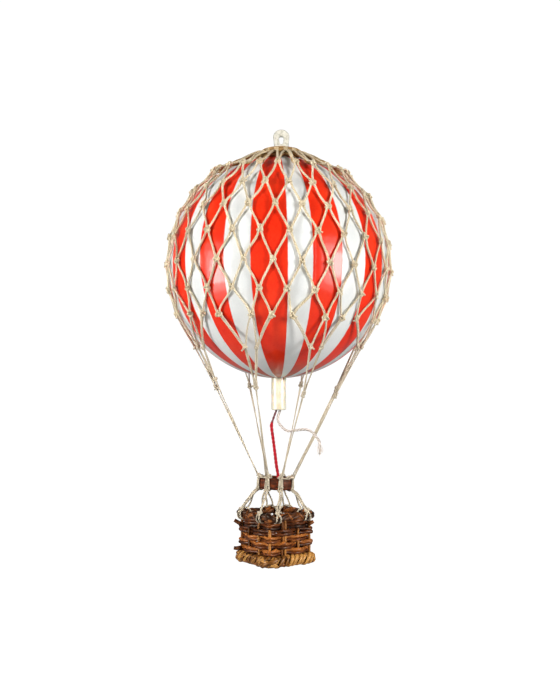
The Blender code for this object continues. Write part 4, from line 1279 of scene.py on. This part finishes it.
def add_binding(shape, centre, normal, at):
    """Splint wound round the base border, and two wider splints crossed over its front corner."""
    for first in range(round(at[-1] / WRAP_PITCH)):
        steps = np.arange(WRAP_POINTS + 5)
        angle = steps / WRAP_POINTS * math.tau + 0.6
        where = (first + 0.5 * random.uniform(-0.5, 0.5)) * WRAP_PITCH + steps / WRAP_POINTS * WRAP_PITCH
        where = where + (0.7 + random.uniform(-0.6, 0.6)) * MM * np.sin(angle)
        i = np.round(np.mod(where, at[-1]) / at[-1] * (len(at) - 1)).astype(int)
        swell = 1 + random.uniform(-0.12, 0.10)
        x = squared(np.cos(angle), 0.85) * (BASE_THICKNESS / 2 - 0.25 * MM) * swell
        z = squared(np.sin(angle), 0.85) * (WRAP_HEIGHT / 2 - 0.25 * MM) * swell
        path = smooth(centre[i] + each(x, normal[i]) + each(z, UP), 0.55 * MM, 4)
        away = unit(each(x, normal[i]) + each(z, UP))
        away = unit(read_at(np.linspace(0, 1, len(path)), np.linspace(0, 1, len(away)), away))
        shape.reed(path, 0.84 * MM * random.uniform(0.72, 1.2), ROUND, up=away, flat=0.6)
    corner = front_corner(normal)
    for slope in (-1, 1):
        points = []
        for x, z in zip(np.linspace(-2.4, 2.4, 7), np.linspace(-0.86, 0.80, 7)):
            i = (corner + slope * int(x * MM / WRAP_STEP)) % (len(at) - 1)
            bulge = BASE_THICKNESS / 2 * (1 - 0.25 * z * z) + (0.18 + 0.12 * slope) * MM
            points.append(centre[i] + bulge * normal[i] + z * WRAP_HEIGHT / 2 * UP)
        shape.reed(smooth(points, 0.5 * MM, 4), 0.85 * MM, ROUND, up=normal[corner], flat=0.45)


def add_floor(shape):
    """Plaited strips across the bottom of the base."""
    reach = BASKET_HALF - BASE_THICKNESS * 0.6
    width = 2 * reach / FLOOR_STRIPS
    t = np.linspace(-1, 1, FLOOR_STRIPS * 4 + 1)
    for axis, side in enumerate(("+Y", "+X")):
        across, along = side_frame(side)
        for k in range(FLOOR_STRIPS):
            wave = np.cos((t + 1) / 2 * FLOOR_STRIPS * math.pi) * (1 if (k + axis) % 2 else -1)
            path = (BASKET_AXIS + each(FLOOR_HEIGHT + wave * 0.27 * MM, UP) + each(t * reach, along)
                    + (-reach + (k + 0.5) * width) * across)
            shape.reed(path, width * 0.49, np.ones(6), up=UP, flat=0.26)


def make_stakes(material):
    """The upright reeds that the courses are woven round."""
    shape = Shape()
    heights = np.linspace(BASE_BOTTOM + BASE_HEIGHT / 2, RIM_TOP - 1.2 * RIM_RADIUS, 9)
    for k, (spot, normal) in enumerate(stake_places()):
        along = np.cross(UP, normal)
        for offset in (-0.62, 0.62) if k in DOUBLE_STAKES else (0.0,):
            lean = random.normal(0, 0.12, 3) * (1, 1, 0) * MM
            path = np.array([BASKET_AXIS + spot + z * UP + offset * MM * along + lean * math.sin(i)
                             for i, z in enumerate(heights)])
            path = smooth(path, 0.6 * MM, 4)
            shape.reed(path, STAKE_RADIUS * (1.05 + wander(len(path), 0.08, 6)), flat=0.95)
    shape.object("stake_reeds", material, "wicker", "basket_base")


def make_base(splint, core):
    """Base border bound with splint round a core of reeds, and the plaited floor."""
    half, corner_radius = BASKET_HALF - BASE_THICKNESS / 2, BASKET_CORNER - BASE_THICKNESS / 2
    middle = (BASE_BOTTOM + WRAP_HEIGHT / 2) * UP
    centre, normal, at = square_path(half, corner_radius, WRAP_STEP)
    shape = Shape()
    add_binding(shape, centre + middle, normal, at)
    add_floor(shape)
    shape.object("base_splint", splint, "splint", "basket_base")
    shape = Shape()
    centre, _, _ = square_path(half, corner_radius, 0.8 * MM)
    for lift in (-1.1, 0.0, 1.1):
        shape.reed(centre + middle + lift * MM * UP, 0.95 * MM, up=UP)
    shape.object("base_core", core, "wicker", "basket_base")


# Stage

# what the gloss shows: bearing from the front, elevation, distance in m, and power in W of the whole box
SOFTBOXES = (
    ("left_softbox", -63.0, -5.0, 0.50, 2.8),
    ("right_softbox", 59.5, 0.0, 0.50, 3.0),
)
# width, height in m, share of the power: the box's cloth is brightest in the middle
SOFTBOX_LAYERS = (
    (0.30, 0.44, 0.30),
    (0.22, 0.30, 0.34),
    (0.13, 0.18, 0.36),
)
# the same numbers of the small lights that light the colours and throw the cords' crisp shadows
KEYS = (
    ("left_key", -52.0, 9.0, 0.50, 0.50),
    ("right_key", 50.0, 9.0, 0.50, 0.49),
)
KEY_AIM = -85.0 * MM             # height that the keys look at
KEY_SPREAD = math.radians(84)
KEY_WIDTH = 0.12
KEY_HEIGHT = 0.15
LAYER_STEP = 2 * MM
FLOOR_DEPTH = -0.50
CEILING_STARTS = (0.30, 0.62)    # heights of a direction between which the room turns into the ceiling
UNDER_ENDS = (-0.8, -0.1)        # and between which what lies below turns into the room
ROOM_LEVEL = 0.20
UNDER_LEVEL = 0.46
CEILING_LEVEL = 0.10
WALL_GLOW = 0.36                 # light that the wall behind sends to the object
WALL_IS_FULL = 0.86              # cosines of the angle from straight behind the object
WALL_FADES_OUT = 0.55
SEEN_LEVEL = 1.04                # the room as the camera sees it, also through clear plastic


def make_light(name, width, height, power, place, way, spread=math.pi, diffuse=True, glossy=True):
    """Rectangular studio light that faces along way and doesn't show in the picture."""
    data = bpy.data.lights.new(name, "AREA")
    data.shape = "RECTANGLE"
    data.size, data.size_y = width, height
    data.energy = power
    data.spread = spread
    light = bpy.data.objects.new(name, data)
    light.location = place
    light.rotation_mode = "QUATERNION"
    light.rotation_quaternion = Vector(way).to_track_quat("-Z", "Y")
    light.visible_camera = False
    light.visible_diffuse = diffuse
    light.visible_glossy = glossy
    bpy.context.scene.collection.objects.link(light)


def make_world():
    """Dim room with a brighter wall behind the object, which the camera sees as plain white."""
    n = Nodes(bpy.data.worlds.new("studio"), "Background", Color=(1, 1, 1, 1))
    softly = {"interpolation_type": "SMOOTHSTEP"}
    where = n.node("TexCoord", "Generated")
    height = n.node("SeparateXYZ", "Z", _0=where)
    room = n.spread(height, *CEILING_STARTS, ROOM_LEVEL, CEILING_LEVEL, softly)
    room = n.spread(height, *UNDER_ENDS, UNDER_LEVEL, room, softly)
    behind = n.node("VectorMath", "Value", {"operation": "DOT_PRODUCT"}, _0=where, _1=tuple(-FRONT))
    wall = n.spread(behind, WALL_FADES_OUT, WALL_IS_FULL, settings=softly)
    level = n.node("Mix", Factor=wall, A=room, B=WALL_GLOW)
    ray = n.node("LightPath").node.outputs
    seen = n.math("MAXIMUM", ray["Is Camera Ray"], ray["Is Transmission Ray"])
    bpy.context.scene.world = n.shade(Strength=n.node("Mix", Factor=seen, A=level, B=SEEN_LEVEL))


def way_to(bearing, elevation):
    rise = math.radians(elevation)
    return math.cos(rise) * bearing_direction(bearing) + math.sin(rise) * UP


def make_stage():
    for name, bearing, elevation, distance, power in SOFTBOXES:
        way = way_to(bearing, elevation)
        for i, (width, height, share) in enumerate(SOFTBOX_LAYERS):
            place = BALL_CENTRE + (distance - i * LAYER_STEP) * way
            make_light(f"{name}_{i + 1}", width, height, power * share, place, -way, diffuse=False)
    for name, bearing, elevation, distance, power in KEYS:
        place = BALL_CENTRE + distance * way_to(bearing, elevation)
        aim = BALL_AXIS + KEY_AIM * UP - place
        make_light(name, KEY_WIDTH, KEY_HEIGHT, power, place, aim, KEY_SPREAD, glossy=False)
    floor = bpy.data.meshes.new("floor")
    bm = bmesh.new()
    bmesh.ops.create_circle(bm, cap_ends=True, segments=96, radius=4.0)
    bm.to_mesh(floor)
    bm.free()
    ground = bpy.data.objects.new("floor", floor)
    ground.location = (0, 0, FLOOR_DEPTH)
    floor.materials.append(floor_material())
    bpy.context.scene.collection.objects.link(ground)
    # only the camera sees the floor, so that it doesn't shine back on the ball's underside
    ground.visible_diffuse = False
    ground.visible_glossy = False
    make_world()
    bpy.context.scene.view_settings.view_transform = "Standard"


def main():
    make_camera()
    make_cords()
    make_ball(paint_material())
    make_loop(clear_material())
    make_mouth_tube(ivory_material())
    twine = twine_material("twine", (0.95, 0.85, 0.63), (0.72, 0.57, 0.34), crown_brown=(0.84, 0.62, 0.34),
                           Sheen_Weight=0.25, Sheen_Roughness=0.5)
    make_net(twine, twine_material("old_twine", (0.70, 0.46, 0.19), (0.30, 0.15, 0.045)))
    make_collar(twine_material("brown_twine", (0.66, 0.43, 0.17), (0.30, 0.15, 0.05)))
    make_ring(reed_material("dark_rattan", (0.008, 0.003, 0.002), (0.060, 0.011, 0.004), (0.27, 0.050, 0.013),
                            coat=0.06, roughness=0.55))
    line_twine = twine_material("line_twine", (0.74, 0.65, 0.49), (0.59, 0.49, 0.34), deep=0.7,
                                Sheen_Weight=0.25, Sheen_Roughness=0.5)
    for line in range(LINE_COUNT):
        make_line(line, line_twine)
        make_basket_line(line, line_twine)
    rim_wicker = reed_material("rim_wicker", (0.006, 0.002, 0.001), (0.065, 0.017, 0.004),
                               (0.34, 0.105, 0.022))
    make_rim(rim_wicker)
    make_weavers(reed_material("wicker", (0.010, 0.002, 0.001), (0.135, 0.031, 0.006), (0.52, 0.165, 0.030),
                               contrast=1.5))
    make_base(reed_material("splint", (0.022, 0.006, 0.001), (0.24, 0.088, 0.016), (0.64, 0.31, 0.075)),
              rim_wicker)
    make_stakes(reed_material("stake_wicker", (0.022, 0.006, 0.001), (0.17, 0.050, 0.009),
                              (0.52, 0.21, 0.045)))
    make_stage()


main()
